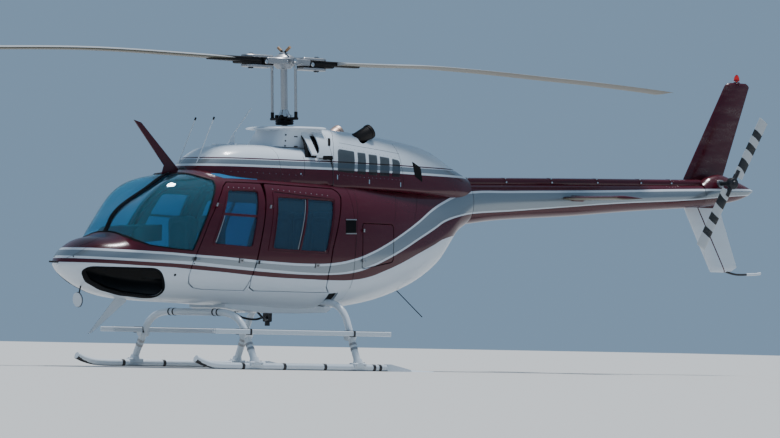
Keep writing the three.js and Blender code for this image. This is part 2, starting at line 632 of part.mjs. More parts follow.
const transmissionWalls = join(frontCowlSolid, raisedWall, both(strut), hood).subtract(transmissionRoom);
const transmissionCowl = join(transmissionWalls, roofPlate).intersect(rearHalf).subtract(hullGrown)
  .subtract(mastHole);
place('transmission_fairing', transmissionCowl, WHITE);
const stackFrom = [-850, 150, 2120];
const stackTo = [-895, 262, 2430];
const stackHole = both(rod(stackFrom, stackTo, 90 + GAP, 20));
const engineCowl = engineSolid.subtract(engineRoom)
  .intersect(box(-2400, COWL_SPLIT_REAR, -600, 600, 1500, 2600));
place('engine_cowl', engineCowl.subtract(hullGrown).subtract(stackHole), WHITE);
const stack = rod(stackFrom, stackTo, 90, 20).subtract(rod([-848, 145, 2106], [-897, 267, 2444], 82, 20));
pair('exhaust', stack, STEEL);
place('engine_block', box(-1500, -560, -230, 230, 1800, 2080).subtract(hullGrown), STEEL);
const mastAxis = new THREE.Vector3(HUB[0] - MAST_BASE[0], 0, HUB[2] - MAST_BASE[2]).normalize();
const alongMast = (d) => [HUB[0] + mastAxis.x * d, 0, HUB[2] + mastAxis.z * d];
place('transmission', join(box(-230, 210, -190, 190, 1800, 2230).subtract(hullGrown),
  rod(alongMast(-860), alongMast(-805 - GAP), 44, 20)), STEEL);

// Tail
const boomGrown = bodyLoft(BOOM, -GAP, BOOM_X, -5700, 900, 20);
const podSolid = bodyLoft(TAIL_POD, 0, -5700 - GAP, -6484, 300, 18)
  .subtract(bodyLoft(TAIL_POD, BOOM_WALL, -5690, -6270, 300, 16));
const podGrown = bodyLoft(TAIL_POD, -GAP, -5700, -6484, 300, 18);
place('tail_boom', bodyLoft(BOOM, 0, BOOM_X - GAP, -5700, 900, 20)
  .subtract(bodyLoft(BOOM, BOOM_WALL, BOOM_X + 10, -5680, 900, 20)), WHITE);
const shaftCover = bodyLoft(SHAFT_COVER, 0, BOOM_X - GAP, -5699, 2000, 16);
place('driveshaft_cover', shaftCover.subtract(boomGrown), MAROON);
const tailBoss = rod([TAIL_HUB[0], 60, TAIL_HUB[2]], [TAIL_HUB[0], 126 - GAP, TAIL_HUB[2]], 42, 16);
place('tail_gearbox', podSolid.add(tailBoss), WHITE);

const wingAt = (y, chord) => foil(chord, 0.11, 16).map((p) => [-3723 + p[0], y, 1831 + p[1]]);
pair('stabilizer', loft([wingAt(60, 400), wingAt(960, 400), wingAt(985, 370)]).subtract(boomGrown), WHITE);
const finSection = foil(1000, 0.1, 12).map(([x, y]) => [x / 1000 + 0.75, (y * FIN_THICKNESS) / 100]);
const finLoft = loft(FIN.map(([z, front, rear]) => finSection.map(([c, y]) => [
  rear + (front - rear) * c, FIN_Y + y, z,
])));
const finSkidLine = [[-6230, 1130], [-6400, 1092], [-6600, 1096], [-6766, 1112]];
const finSkid = tube(finSkidLine.map(([x, z]) => [x, FIN_Y, z]), 14, 8, 8);
const beacon = rod([-6364, FIN_Y, 3150], [-6364, FIN_Y, 3263], 36, 14, 28);
place('vertical_fin', join(finLoft, finSkid, beacon).subtract(boomGrown).subtract(podGrown), WHITE);

// Landing gear
const LEG_R = 34;
const PAD_TOP = SKID_Z + SKID_R + 10;
const legPath = (x, leg) => [...leg.slice(1).reverse().map((p) => [x, -p[0], p[1]]),
  ...leg.map((p) => [x, p[0], p[1]])];
const crossTube = (x, leg, radius) => tube(legPath(x, leg), radius, 24, 8);
const frontPads = both(box(FRONT_TUBE_X - 30, FRONT_TUBE_X + 30, 250, 330, 560, 660)).subtract(hullGrown);
const skidTail = loft(SKID_TAIL.map(([x, half, z]) => [[x, SKID_Y - half, 0], [x, SKID_Y + half, 0],
  [x, SKID_Y + half * 0.8, z], [x, SKID_Y - half * 0.8, z]]));
const skidPad = (x) => box(x - 75, x + 75, SKID_Y - 45, SKID_Y + 45, SKID_Z, PAD_TOP);
const skid = join(tube(SKID_LINE.map(([x, rise]) => [x, SKID_Y, SKID_Z + rise]), SKID_R, 12, 10), skidTail,
  skidPad(FRONT_TUBE_X), skidPad(REAR_TUBE_X)).trimByPlane([0, 0, 1], 0);
const skidGrown = both(box(-1300, 1800, 700, 1200, 0, PAD_TOP + GAP));
place('front_cross_tube', join(crossTube(FRONT_TUBE_X, LEG, LEG_R), frontPads).subtract(skidGrown), WHITE);
place('rear_cross_tube', crossTube(REAR_TUBE_X, REAR_LEG, LEG_R).subtract(skidGrown), WHITE);
pair('skid', skid, WHITE);
const legRoom = join(crossTube(FRONT_TUBE_X, LEG, LEG_R + GAP),
  crossTube(REAR_TUBE_X, REAR_LEG, LEG_R + GAP));
const stepBoard = box(-749, 1443, STEP_Y - 75, STEP_Y + 75, STEP_Z - 24, STEP_Z + 24);
pair('step', stepBoard.subtract(legRoom), WHITE);

// Nose fittings
place('upper_cutter', prismXZ(UPPER_CUTTER, -7, 7).subtract(hullGrown), MAROON);
place('lower_cutter', prismXZ(LOWER_CUTTER, -7, 7).subtract(hullGrown), SILVER);

// Main rotor
const LINK_Y = 190;
const LINK_TOP = 3042;
const swashplate = join(
  rod(alongMast(-620), alongMast(-545), 95, 20),
  rod(alongMast(-560), alongMast(-500), 60, 14),
  box(-50, 10, -LINK_Y - 14, LINK_Y + 14, 2494, 2520),
);
const link = rod([-20, LINK_Y, 2500], [0, LINK_Y, LINK_TOP], 9, 6);
place('rotor_mast', join(rod(alongMast(-805), alongMast(-60), 34, 16), swashplate, both(link)), STEEL);
function blade(line, side, fat = 0) {
  const at = ([x, z], i) => foil(BLADE_CHORD, 0.12, 20, fat)
    .map((p) => [x - (i ? 0 : Math.sign(x) * fat), side * p[0], z + p[1]]);
  return loft(line.map(at));
}
const span = (sign, from, to, half, low, high) => box(Math.min(sign * from, sign * to),
  Math.max(sign * from, sign * to), -half, half, low, high);
const grip = (sign) => join(span(sign, 110, 860, 95, 3042, 3128), span(sign, 110, 480, 120, 3050, 3115));
const restraint = rod([0, -50, 3125], [0, 88, 3222], 11, 6, 15);
const yoke = join(rod(alongMast(-59.5), alongMast(75), 78, 18), box(-200, 200, -70, 70, 3045, 3110), grip(1),
  grip(-1), box(-22, 22, -LINK_Y - 16, LINK_Y + 16, LINK_TOP + GAP + 2, LINK_TOP + 32), both(restraint))
  .subtract(blade(BLADE_LINE, 1, GAP)).subtract(blade(REAR_LINE, -1, GAP));
place('main_rotor_hub', yoke, GREY);
place('main_blade_front', blade(BLADE_LINE, 1), SILVER);
place('main_blade_rear', blade(REAR_LINE, -1), SILVER);

// Tail rotor
const phase = THREE.MathUtils.degToRad(TAIL_PHASE);
const spanDir = new THREE.Vector3(-Math.cos(phase), 0, Math.sin(phase));
const chordDir = new THREE.Vector3(Math.sin(phase), 0, Math.cos(phase));
const alongBlade = (r) => [TAIL_HUB[0] + spanDir.x * r, TAIL_HUB[1], TAIL_HUB[2] + spanDir.z * r];
function tailBlade(sign, fat = 0) {
  const at = (r, chord) => foil(chord, 0.1, 14, fat).map((p) => {
    const v = spanDir.clone().multiplyScalar(sign * r).addScaledVector(chordDir, sign * p[0]);
    return [TAIL_HUB[0] + v.x, TAIL_HUB[1] + p[1], TAIL_HUB[2] + v.z];
  });
  return loft([at(110 - fat, TAIL_CHORD), at(TAIL_RADIUS - 12, TAIL_CHORD),
    at(TAIL_RADIUS, TAIL_CHORD - 12)]);
}
const tailHubSolid = join(
  rod([TAIL_HUB[0], 126, TAIL_HUB[2]], [TAIL_HUB[0], 345, TAIL_HUB[2]], 24, 16),
  rod([TAIL_HUB[0], 262, TAIL_HUB[2]], [TAIL_HUB[0], 328, TAIL_HUB[2]], 62, 18),
  rod(alongBlade(160), alongBlade(-160), 26, 12),
).subtract(join(tailBlade(1, GAP), tailBlade(-1, GAP)));
place('tail_rotor_hub', tailHubSolid, BLACK);
place('tail_blade_a', tailBlade(1), SILVER);
place('tail_blade_b', tailBlade(-1), SILVER);

export default group;
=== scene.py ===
"""Light turbine helicopter on high skids: the visible pieces, built round the packed frame."""

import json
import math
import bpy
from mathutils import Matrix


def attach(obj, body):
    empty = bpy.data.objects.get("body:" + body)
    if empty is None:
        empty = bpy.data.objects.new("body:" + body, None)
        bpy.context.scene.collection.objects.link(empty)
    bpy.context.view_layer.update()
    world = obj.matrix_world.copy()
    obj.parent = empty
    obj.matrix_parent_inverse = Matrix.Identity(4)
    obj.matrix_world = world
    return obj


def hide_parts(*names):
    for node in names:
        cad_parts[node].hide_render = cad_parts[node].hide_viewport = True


bl_info = {
    "name": "Light Turbine Helicopter",
    "version": (1, 0, 0),
    "blender": (4, 5, 0),
    "location": "View3D > Sidebar > Helicopter",
    "description": "Builds the shells, glass, rotors, gear and cabin of a light turbine helicopter",
    "category": "Add Mesh",
}

import bpy
import numpy as np
from bpy.props import FloatProperty, FloatVectorProperty, PointerProperty
from mathutils import Matrix, Vector
from mathutils.geometry import delaunay_2d_cdt

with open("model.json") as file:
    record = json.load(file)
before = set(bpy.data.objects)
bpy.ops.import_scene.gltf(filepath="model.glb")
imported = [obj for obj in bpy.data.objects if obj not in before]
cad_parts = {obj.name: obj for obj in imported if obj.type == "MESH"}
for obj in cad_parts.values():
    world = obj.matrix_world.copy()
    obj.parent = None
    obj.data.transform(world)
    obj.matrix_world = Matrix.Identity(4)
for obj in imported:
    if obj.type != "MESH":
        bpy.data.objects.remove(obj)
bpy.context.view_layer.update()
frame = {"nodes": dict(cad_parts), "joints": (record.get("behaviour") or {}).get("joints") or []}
JOINTS = {joint["name"]: joint for joint in frame["joints"]}
MAST_X = JOINTS["main_rotor_spin"]["pos_m"][0]
HUB = np.array([0.0, 0.0, JOINTS["main_rotor_spin"]["pos_m"][2]])
MAST_AXIS = np.array(JOINTS["main_rotor_spin"]["axis"])
TAIL_HUB = np.array(JOINTS["tail_rotor_spin"]["pos_m"]) - (MAST_X, 0.0, 0.0)
SIDES = (("left", 1), ("right", -1))
AHEAD = (1, 0, 0)
PORT = (0, 1, 0)
UP = (0, 0, 1)

# Places below are metres from the main rotor mast: +x to the nose, +y to port, +z up from the ground.
SPLIT_X = -0.450
BOOM_X = -2.380
NOSE_X = 2.727
TAIL_END_X = -6.484
POD_X = -5.700
WALL = 0.045
AFT_WALL = 0.025
COWL_WALL = 0.014
PANE_DEPTH = 0.009
PANE = 0.006
CHAMFER = 0.0025

# Each form's table: station, roof z, belly z, half width, height of the widest line, upper and lower exponent
HULL = (
    (2.728, 1.010, 0.985, 0.014, 1.000, 2.0, 2.0),
    (2.700, 1.052, 0.950, 0.110, 1.000, 2.0, 2.0),
    (2.618, 1.138, 0.880, 0.240, 1.005, 2.0, 2.0),
    (2.442, 1.240, 0.775, 0.385, 1.020, 2.1, 2.1),
    (2.185, 1.305, 0.692, 0.505, 1.050, 2.2, 2.3),
    (2.090, 1.480, 0.676, 0.535, 1.062, 2.1, 2.35),
    (1.960, 1.625, 0.662, 0.565, 1.080, 2.15, 2.4),
    (1.730, 1.795, 0.650, 0.605, 1.105, 2.35, 2.5),
    (1.490, 1.905, 0.642, 0.635, 1.125, 2.6, 2.6),
    (1.200, 1.960, 0.634, 0.655, 1.140, 2.9, 2.6),
    (0.700, 1.965, 0.605, 0.662, 1.150, 3.0, 2.6),
    (0.000, 1.950, 0.577, 0.662, 1.160, 3.0, 2.6),
    (-0.500, 1.935, 0.615, 0.640, 1.170, 3.0, 2.5),
    (-1.000, 1.915, 0.688, 0.565, 1.200, 2.9, 2.3),
    (-1.500, 1.900, 0.835, 0.440, 1.280, 2.7, 2.1),
    (-1.900, 1.905, 1.050, 0.320, 1.420, 2.4, 2.0),
    (-2.200, 1.925, 1.405, 0.230, 1.620, 2.2, 2.1),
    (-2.380, 1.942, 1.519, 0.184, 1.732, 2.2, 2.2),
)
BOOM = (
    HULL[-1],
    (-2.777, 1.955, 1.570, 0.176, 1.762, 2.1, 2.1),
    (-3.854, 1.988, 1.650, 0.155, 1.819, 2.0, 2.0),
    (-4.664, 2.015, 1.723, 0.138, 1.869, 2.0, 2.0),
    (-5.700, 2.044, 1.800, 0.118, 1.922, 2.0, 2.0),
)
TAIL_POD = (
    (-5.700, 2.060, 1.800, 0.119, 1.930, 2.0, 2.0),
    (-5.820, 2.129, 1.815, 0.119, 1.955, 2.0, 2.0),
    (-5.980, 2.160, 1.838, 0.114, 1.985, 2.0, 2.0),
    (-6.150, 2.123, 1.868, 0.098, 1.990, 2.0, 2.0),
    (-6.270, 2.084, 1.895, 0.080, 1.992, 2.0, 2.0),
    (-6.400, 2.040, 1.940, 0.048, 1.994, 2.0, 2.0),
    (-6.484, 2.006, 1.988, 0.012, 1.997, 2.0, 2.0),
)
FRONT_COWL = (
    (1.250, 1.975, 1.800, 0.130, 1.850, 2.2, 2.0),
    (1.190, 2.045, 1.800, 0.250, 1.850, 2.3, 2.0),
    (1.100, 2.105, 1.800, 0.335, 1.850, 2.5, 2.0),
    (0.910, 2.193, 1.800, 0.415, 1.850, 2.8, 2.0),
    (0.700, 2.220, 1.800, 0.440, 1.850, 3.0, 2.0),
    (0.454, 2.229, 1.800, 0.450, 1.850, 3.0, 2.0),
    (-0.500, 2.232, 1.800, 0.456, 1.850, 3.0, 2.0),
)
ENGINE_COWL = (
    (-0.050, 2.434, 1.780, 0.455, 1.830, 2.7, 2.0),
    (-0.300, 2.432, 1.780, 0.460, 1.830, 2.6, 2.0),
    (-0.643, 2.410, 1.780, 0.460, 1.830, 2.6, 2.0),
    (-0.897, 2.396, 1.780, 0.452, 1.830, 2.5, 2.0),
    (-1.196, 2.364, 1.780, 0.425, 1.830, 2.4, 2.0),
    (-1.584, 2.314, 1.760, 0.360, 1.830, 2.2, 2.0),
    (-1.798, 2.269, 1.740, 0.318, 1.840, 2.1, 2.0),
    (-2.141, 2.105, 1.720, 0.235, 1.850, 2.1, 2.0),
    (-2.378, 2.002, 1.700, 0.150, 1.850, 2.1, 2.0),
)
SHAFT_COVER = (
    (-2.379, 2.002, 1.900, 0.062, 1.950, 2.6, 2.0),
    (-3.683, 2.042, 1.940, 0.060, 1.990, 2.6, 2.0),
    (-5.483, 2.091, 1.990, 0.054, 2.040, 2.6, 2.0),
    (-5.699, 2.097, 2.000, 0.050, 2.046, 2.6, 2.0),
)

# Side outlines, x and z
FRONT_DOOR = (
    (1.065, 1.829), (1.130, 1.782), (1.215, 1.670), (1.365, 1.437), (1.505, 1.140), (1.560, 1.010),
    (1.575, 0.900),
    (1.546, 0.828), (1.470, 0.786), (1.350, 0.773), (0.871, 0.772), (0.668, 1.645), (0.652, 1.829),
)
REAR_DOOR = (
    (0.612, 1.829), (0.830, 0.892), (0.812, 0.800), (0.740, 0.772), (-0.180, 0.772), (-0.125, 0.820),
    (-0.112, 0.960), (-0.150, 1.207), (-0.254, 1.542), (-0.317, 1.732), (-0.300, 1.775), (-0.250, 1.805),
)
FRONT_WINDOW = ((1.085, 1.752), (0.734, 1.752), (0.862, 1.200), (1.318, 1.222))
REAR_WINDOW = ((0.497, 1.705), (-0.204, 1.688), (-0.075, 1.176), (0.600, 1.193))
WINDSCREEN_SIDE = (
    (1.430, 1.922), (1.205, 1.845), (1.215, 1.790), (1.320, 1.610), (1.436, 1.392), (1.560, 1.145),
    (1.773, 1.156), (2.023, 1.186), (2.140, 1.228), (2.176, 1.272),
)
CHIN_WINDOW = (
    (2.580, 0.921), (2.556, 0.952), (1.955, 0.949), (1.895, 0.915), (1.830, 0.820), (1.778, 0.745),
    (1.775, 0.697), (1.830, 0.689), (2.135, 0.714), (2.329, 0.761), (2.498, 0.836),
)
BAGGAGE_DOOR = ((-0.560, 1.470), (-0.560, 1.020), (-1.010, 1.100), (-1.010, 1.470))
POST_HALF = 0.026
WINDOW_CORNER = 0.035
BAGGAGE_CORNER = 0.04
DOOR_WALL = 0.040

# Hinge pins: a point on the pin, its lean in x for each metre up, and the heights of the two hinges
HINGES = {
    "front_door": ((1.510, 0.650, 1.140), -0.471, (1.065, 1.600)),
    "rear_door": ((0.7588, 0.674, 1.140), -0.2327, (1.050, 1.600)),
    "baggage_door": ((-0.555, 0.652, 1.245), 0.0, (1.100, 1.400)),
}

# Paint lines: station, top of the white line, foot of the silver band, top and foot of the maroon stripe
LIVERY = (
    (-6.500, 2.020, 1.960, 1.952, 1.400), (-5.370, 1.984, 1.872, 1.860, 1.400),
    (-4.450, 1.942, 1.812, 1.800, 1.400),
    (-3.636, 1.909, 1.744, 1.732, 1.400), (-2.920, 1.882, 1.684, 1.670, 1.400),
    (-2.350, 1.856, 1.640, 1.624, 1.400),
    (-2.185, 1.826, 1.616, 1.600, 1.400), (-1.898, 1.736, 1.552, 1.532, 1.360),
    (-1.700, 1.660, 1.469, 1.447, 1.290),
    (-1.418, 1.516, 1.350, 1.328, 1.188), (-1.149, 1.387, 1.233, 1.211, 1.087),
    (-0.900, 1.273, 1.134, 1.112, 1.003),
    (-0.678, 1.186, 1.056, 1.034, 0.938), (-0.444, 1.114, 0.997, 0.976, 0.903),
    (-0.159, 1.065, 0.965, 0.949, 0.895),
    (0.122, 1.052, 0.963, 0.943, 0.899), (0.641, 1.064, 0.984, 0.957, 0.911),
    (1.189, 1.093, 1.014, 0.985, 0.944),
    (1.593, 1.110, 1.039, 1.008, 0.966), (1.768, 1.120, 1.042, 1.016, 0.977),
    (2.072, 1.131, 1.048, 1.025, 0.986),
    (2.342, 1.141, 1.057, 1.034, 0.997), (2.578, 1.149, 1.065, 1.042, 1.003),
    (2.800, 1.150, 1.072, 1.046, 1.007),
)
LIVERY_X = (-6.6, 2.9)
WHITE_LINE = 0.023
COWL_PINSTRIPE_Z = 2.083
COWL_SILVER_Z = (2.022, 2.070)
COWL_MAROON_Z = 2.000
PINSTRIPE_HALF = 0.006
COWL_LINES_TOP_X = -0.3
COWL_LINES_FALL = 0.006
PAINT_CURVE_TOP = 2.5
UNDER_BOOM_X = -2.10
FIN_PAINT_Z = 1.80
FIN_LINE_X = -5.80
FIN_LINE_LEAN = 0.62
FIN_LINE_HALF = 0.009


# Curves and forms

SECTION_ANGLES = 721
TINY = 1e-9
INSET_LIMIT = 0.45

def monotone_slopes(x, y):
    """Slope at each station: the weighted harmonic mean of its two secants, or zero where the values turn."""
    step = np.diff(x)
    secant = np.diff(y, axis=0) / step[:, None]
    slope = np.zeros_like(y)
    slope[0], slope[-1] = secant[0], secant[-1]
    near = (2 * step[1:] + step[:-1])[:, None]
    far = (step[1:] + 2 * step[:-1])[:, None]
    with np.errstate(divide="ignore", invalid="ignore"):
        mean = (near + far) / (near / secant[:-1] + far / secant[1:])
    slope[1:-1] = np.where(secant[:-1] * secant[1:] > 0, mean, 0.0)
    return slope


def cubic(x, stations, values, slopes):
    """The cubic between each two stations that meets their values v and slopes m, read at x.

    With t from 0 to 1 over a gap h:
    (2t^3 - 3t^2 + 1) v0 + (t^3 - 2t^2 + t) h m0 + (3t^2 - 2t^3) v1 + (t^3 - t^2) h m1.
    """
    x = np.clip(x, stations[0], stations[-1])
    i = np.clip(np.searchsorted(stations, x) - 1, 0, len(stations) - 2)
    h = (stations[i + 1] - stations[i])[..., None]
    t = (x - stations[i])[..., None] / h
    return ((2 * t**3 - 3 * t**2 + 1) * values[i] + (t**3 - 2 * t**2 + t) * h * slopes[i]
            + (3 * t**2 - 2 * t**3) * values[i + 1] + (t**3 - t**2) * h * slopes[i + 1])


class Form:
    """A long form with superellipse sections: y = w cos(a)^e and z = m + r sin(a)^e, with e = 2 / exponent.

    Half width w, widest line m, rise r and exponent follow a monotone cubic between the table's stations.
    """

    def __init__(self, table):
        rows = np.array(sorted(table), float)
        self.x = rows[:, 0]
        self.values = rows[:, 1:]
        self.slopes = monotone_slopes(self.x, self.values)
        self.arc_a = np.linspace(-np.pi / 2, np.pi / 2, SECTION_ANGLES)
        middle = np.full(SECTION_ANGLES, self.x.mean())
        ring = self.point(middle, self.arc_a)
        length = np.linalg.norm(np.diff(ring, axis=0), axis=1)
        self.arc_s = np.concatenate([[0.0], np.cumsum(length)])
        self.girth = self.arc_s[-1]

    def row(self, x):
        return np.moveaxis(cubic(x, self.x, self.values, self.slopes), -1, 0)

    def point(self, x, a, inset=0.0):
        x, a = np.broadcast_arrays(np.asarray(x, float), np.asarray(a, float))
        top, bottom, width, middle, upper, lower = self.row(x)
        s = np.sin(a)
        c = np.cos(a)
        c = np.where(np.abs(c) < TINY, 0.0, c)
        e = 2 / np.where(s >= 0, upper, lower)
        rise = np.where(s >= 0, top - middle, middle - bottom)
        wide = width - np.minimum(inset, INSET_LIMIT * width)
        rise = rise - np.minimum(inset, INSET_LIMIT * rise)
        y = wide * np.sign(c) * np.abs(c) ** e
        z = middle + rise * np.sign(s) * np.abs(s) ** e
        return np.stack([x, y, z], -1)

    def level(self, p):
        """Below 1 inside the form, 1 on it, above 1 outside."""
        x, y, z = p[..., 0], p[..., 1], p[..., 2]
        top, bottom, width, middle, upper, lower = self.row(x)
        n = np.where(z >= middle, upper, lower)
        rise = np.where(z >= middle, top - middle, middle - bottom)
        return (np.abs(y) / width) ** n + (np.abs(z - middle) / rise) ** n

    def normal(self, p):
        """The gradient of level, as a unit vector."""
        gradient = []
        for axis in range(3):
            shift = np.zeros(3)
            shift[axis] = 1e-4
            gradient.append(self.level(p + shift) - self.level(p - shift))
        g = np.stack(gradient, -1)
        return g / np.maximum(np.linalg.norm(g, axis=-1, keepdims=True), TINY)

    def normal_at(self, x, a):
        return self.normal(self.point(x, a))

    def angle(self, x, z):
        top, bottom, _, middle, upper, lower = self.row(np.asarray(x, float))
        up = z >= middle
        rise = np.where(up, top - middle, middle - bottom)
        t = np.clip(np.abs(z - middle) / rise, 0, 1)
        a = np.arcsin(t ** (np.where(up, upper, lower) / 2))
        return np.where(up, a, -a)

    def angle_at_y(self, x, y, upper_half=True):
        row = self.row(np.asarray(x, float))
        a = np.arccos(np.clip(np.abs(y) / row[2], 0, 1) ** (row[4 if upper_half else 5] / 2))
        return a if upper_half else -a

    def arc(self, a):
        return np.interp(a, self.arc_a, self.arc_s)

    def turn(self, s):
        return np.interp(s, self.arc_s, self.arc_a)

    def side(self, x, z, inset=0.0):
        """The port point of the form at that x and z."""
        x = np.asarray(x, float)
        return self.point(x, self.angle(x, np.asarray(z, float)), inset)


def unit(v):
    v = np.asarray(v, float)
    return v / np.linalg.norm(v, axis=-1, keepdims=True)


class Cabin(Form):
    """The hull form, with two windscreen panes that swell beside a flatter centre line.

    A point moves out along the plain form's normal by SWELL sin(pi t)^2 shape(u): t goes from 0 to 1 over
    SCREEN_X, and u is |y| over the pane's side edge.
    """
    SCREEN_X = (1.300, 2.180)
    SWELL = 0.078
    EASE = 0.005
    CROWN_ANGLE = 1.56
    EDGE_X = (1.200, 1.430, 1.560, 1.800, 2.023, 2.140, 2.200)
    EDGE_Y = (0.560, 0.590, 0.600, 0.585, 0.535, 0.505, 0.480)
    SHAPE_U = (0.0, 0.10, 0.28, 0.58, 0.82, 1.0)
    SHAPE = (-0.75, -0.66, -0.20, 0.95, 0.75, 0.0)

    def point(self, x, a, inset=0.0):
        p = super().point(x, a, inset)
        t = np.clip((p[..., 0] - self.SCREEN_X[0]) / (self.SCREEN_X[1] - self.SCREEN_X[0]), 0, 1)
        up = np.sin(np.broadcast_to(a, p.shape[:-1])) > 0
        u = np.abs(p[..., 1]) / np.interp(p[..., 0], self.EDGE_X, self.EDGE_Y)
        shape = np.interp(u, self.FINE_U, self.FINE)
        move = np.where(up, self.SWELL * np.sin(np.pi * t) ** 2 * shape, 0.0)
        if not np.any(move):
            return p
        base = p if np.ndim(inset) == 0 and inset == 0 else super().point(x, a)
        return p + self.normal(base) * move[..., None]

    def normal_at(self, x, a):
        """The cross product of the tangents along the arc and along x."""
        x, a = np.broadcast_arrays(np.asarray(x, float), np.asarray(a, float))
        plain = super().normal_at(x, a)
        along = self.point(x + 1e-3, a) - self.point(x - 1e-3, a)
        rise = self.point(x, a + 1e-3) - self.point(x, a - 1e-3)
        bent = unit(np.cross(rise, along))
        rear, front = self.SCREEN_X
        inside_screen = (x > rear + self.EASE) & (x < front - self.EASE) & (a > 0) & (a < self.CROWN_ANGLE)
        return np.where(inside_screen[..., None], bent, plain)


def smooth_table(u, values, count=60):
    """A table made finer with the monotone cubic, to be read by straight interpolation."""
    u, values = np.array(u), np.array(values)[:, None]
    fine = np.linspace(u[0], u[-1], count)
    return fine, cubic(fine, u, values, monotone_slopes(u, values))[:, 0]


Cabin.FINE_U, Cabin.FINE = smooth_table(Cabin.SHAPE_U, Cabin.SHAPE)
hull = Cabin(HULL)
boom = Form(BOOM)
tail_pod = Form(TAIL_POD)
front_cowl = Form(FRONT_COWL)
engine_cowl = Form(ENGINE_COWL)
shaft_cover = Form(SHAFT_COVER)


def signed_area(ring):
    x, y = ring[:, 0], ring[:, 1]
    return 0.5 * np.sum(x * np.roll(y, -1) - np.roll(x, -1) * y)


def grown(points, distance):
    """Each edge of a closed outline moved out by distance, and the neighbours met again.

    The corner moves by the vector whose part along each neighbouring edge's outward normal is that edge's
    distance.
    """
    p = np.asarray(points, float)
    edge = np.roll(p, -1, axis=0) - p
    out = np.stack([edge[:, 1], -edge[:, 0]], -1) / np.linalg.norm(edge, axis=1)[:, None]
    out *= np.sign(signed_area(p))
    before = np.roll(out, 1, axis=0)
    reach = np.broadcast_to(np.asarray(distance, float), len(p))
    reach_before = np.roll(reach, 1)
    same = np.sum(before * out, axis=1)
    across = np.maximum(1 - same**2, TINY)
    corner = ((reach_before - same * reach)[:, None] * before + (reach - same * reach_before)[:, None] * out)
    corner = corner / across[:, None]
    straight = ((reach + reach_before) / 2 / (1 + same))[:, None] * (before + out)
    return p + np.where((across < 1e-4)[:, None], straight, corner)


def rounded(points, radius, steps=5):
    """Each corner of a closed outline replaced by a parabola that starts radius before it."""
    p = np.asarray(points, float)
    before, ahead = np.roll(p, 1, axis=0), np.roll(p, -1, axis=0)
    back = np.linalg.norm(before - p, axis=1)[:, None]
    front = np.linalg.norm(ahead - p, axis=1)[:, None]
    a = p + (before - p) * np.minimum(radius, back / 2.2) / back
    b = p + (ahead - p) * np.minimum(radius, front / 2.2) / front
    t = np.linspace(0, 1, steps + 1)[None, :, None]
    curve = (1 - t) ** 2 * a[:, None] + 2 * t * (1 - t) * p[:, None] + t**2 * b[:, None]
    return curve.reshape(-1, 2)


def divided(points, pitch, closed=True):
    """The outline with every edge cut into equal steps no longer than pitch."""
    p = np.asarray(points, float)
    ends = np.roll(p, -1, axis=0) if closed else p[1:]
    pieces = []
    for a, b in zip(p, ends):
        length = np.linalg.norm(b - a)
        if length < 1e-6:
            continue
        t = np.arange(max(1, math.ceil(length / pitch))) / max(1, math.ceil(length / pitch))
        pieces.append(a + (b - a) * t[:, None])
    if not closed:
        pieces.append(p[-1:])
    return np.concatenate(pieces)


def trace(form, corners, pitch=0.02):
    """A closed side outline laid on the form, in x and arc position."""
    p = divided(corners, pitch)
    return np.stack([p[:, 0], form.arc(form.angle(p[:, 0], p[:, 1]))], -1)


def laid(outline, radius, growth=0.0):
    """A side outline of x and z, grown and rounded, laid on the hull."""
    return trace(hull, rounded(grown(outline, growth) if growth else outline, radius))


def spline(points, count):
    """A centripetal Catmull-Rom curve through the points, as count places."""
    p = np.asarray(points, float)
    p = np.concatenate([[2 * p[0] - p[1]], p, [2 * p[-1] - p[-2]]])
    knots = np.concatenate([[0.0], np.cumsum(np.sqrt(np.linalg.norm(np.diff(p, axis=0), axis=1)))])
    t = np.linspace(knots[1], knots[-2], count)
    i = np.clip(np.searchsorted(knots, t, side="right") - 1, 1, len(p) - 3)
    k = [knots[i + n][:, None] for n in (-1, 0, 1, 2)]
    q = [p[i + n] for n in (-1, 0, 1, 2)]
    t = t[:, None]
    a = [((k[n + 1] - t) * q[n] + (t - k[n]) * q[n + 1]) / (k[n + 1] - k[n]) for n in range(3)]
    b = [((k[n + 2] - t) * a[n] + (t - k[n]) * a[n + 1]) / (k[n + 2] - k[n]) for n in range(2)]
    return ((k[2] - t) * b[0] + (t - k[1]) * b[1]) / (k[2] - k[1])


# Meshes

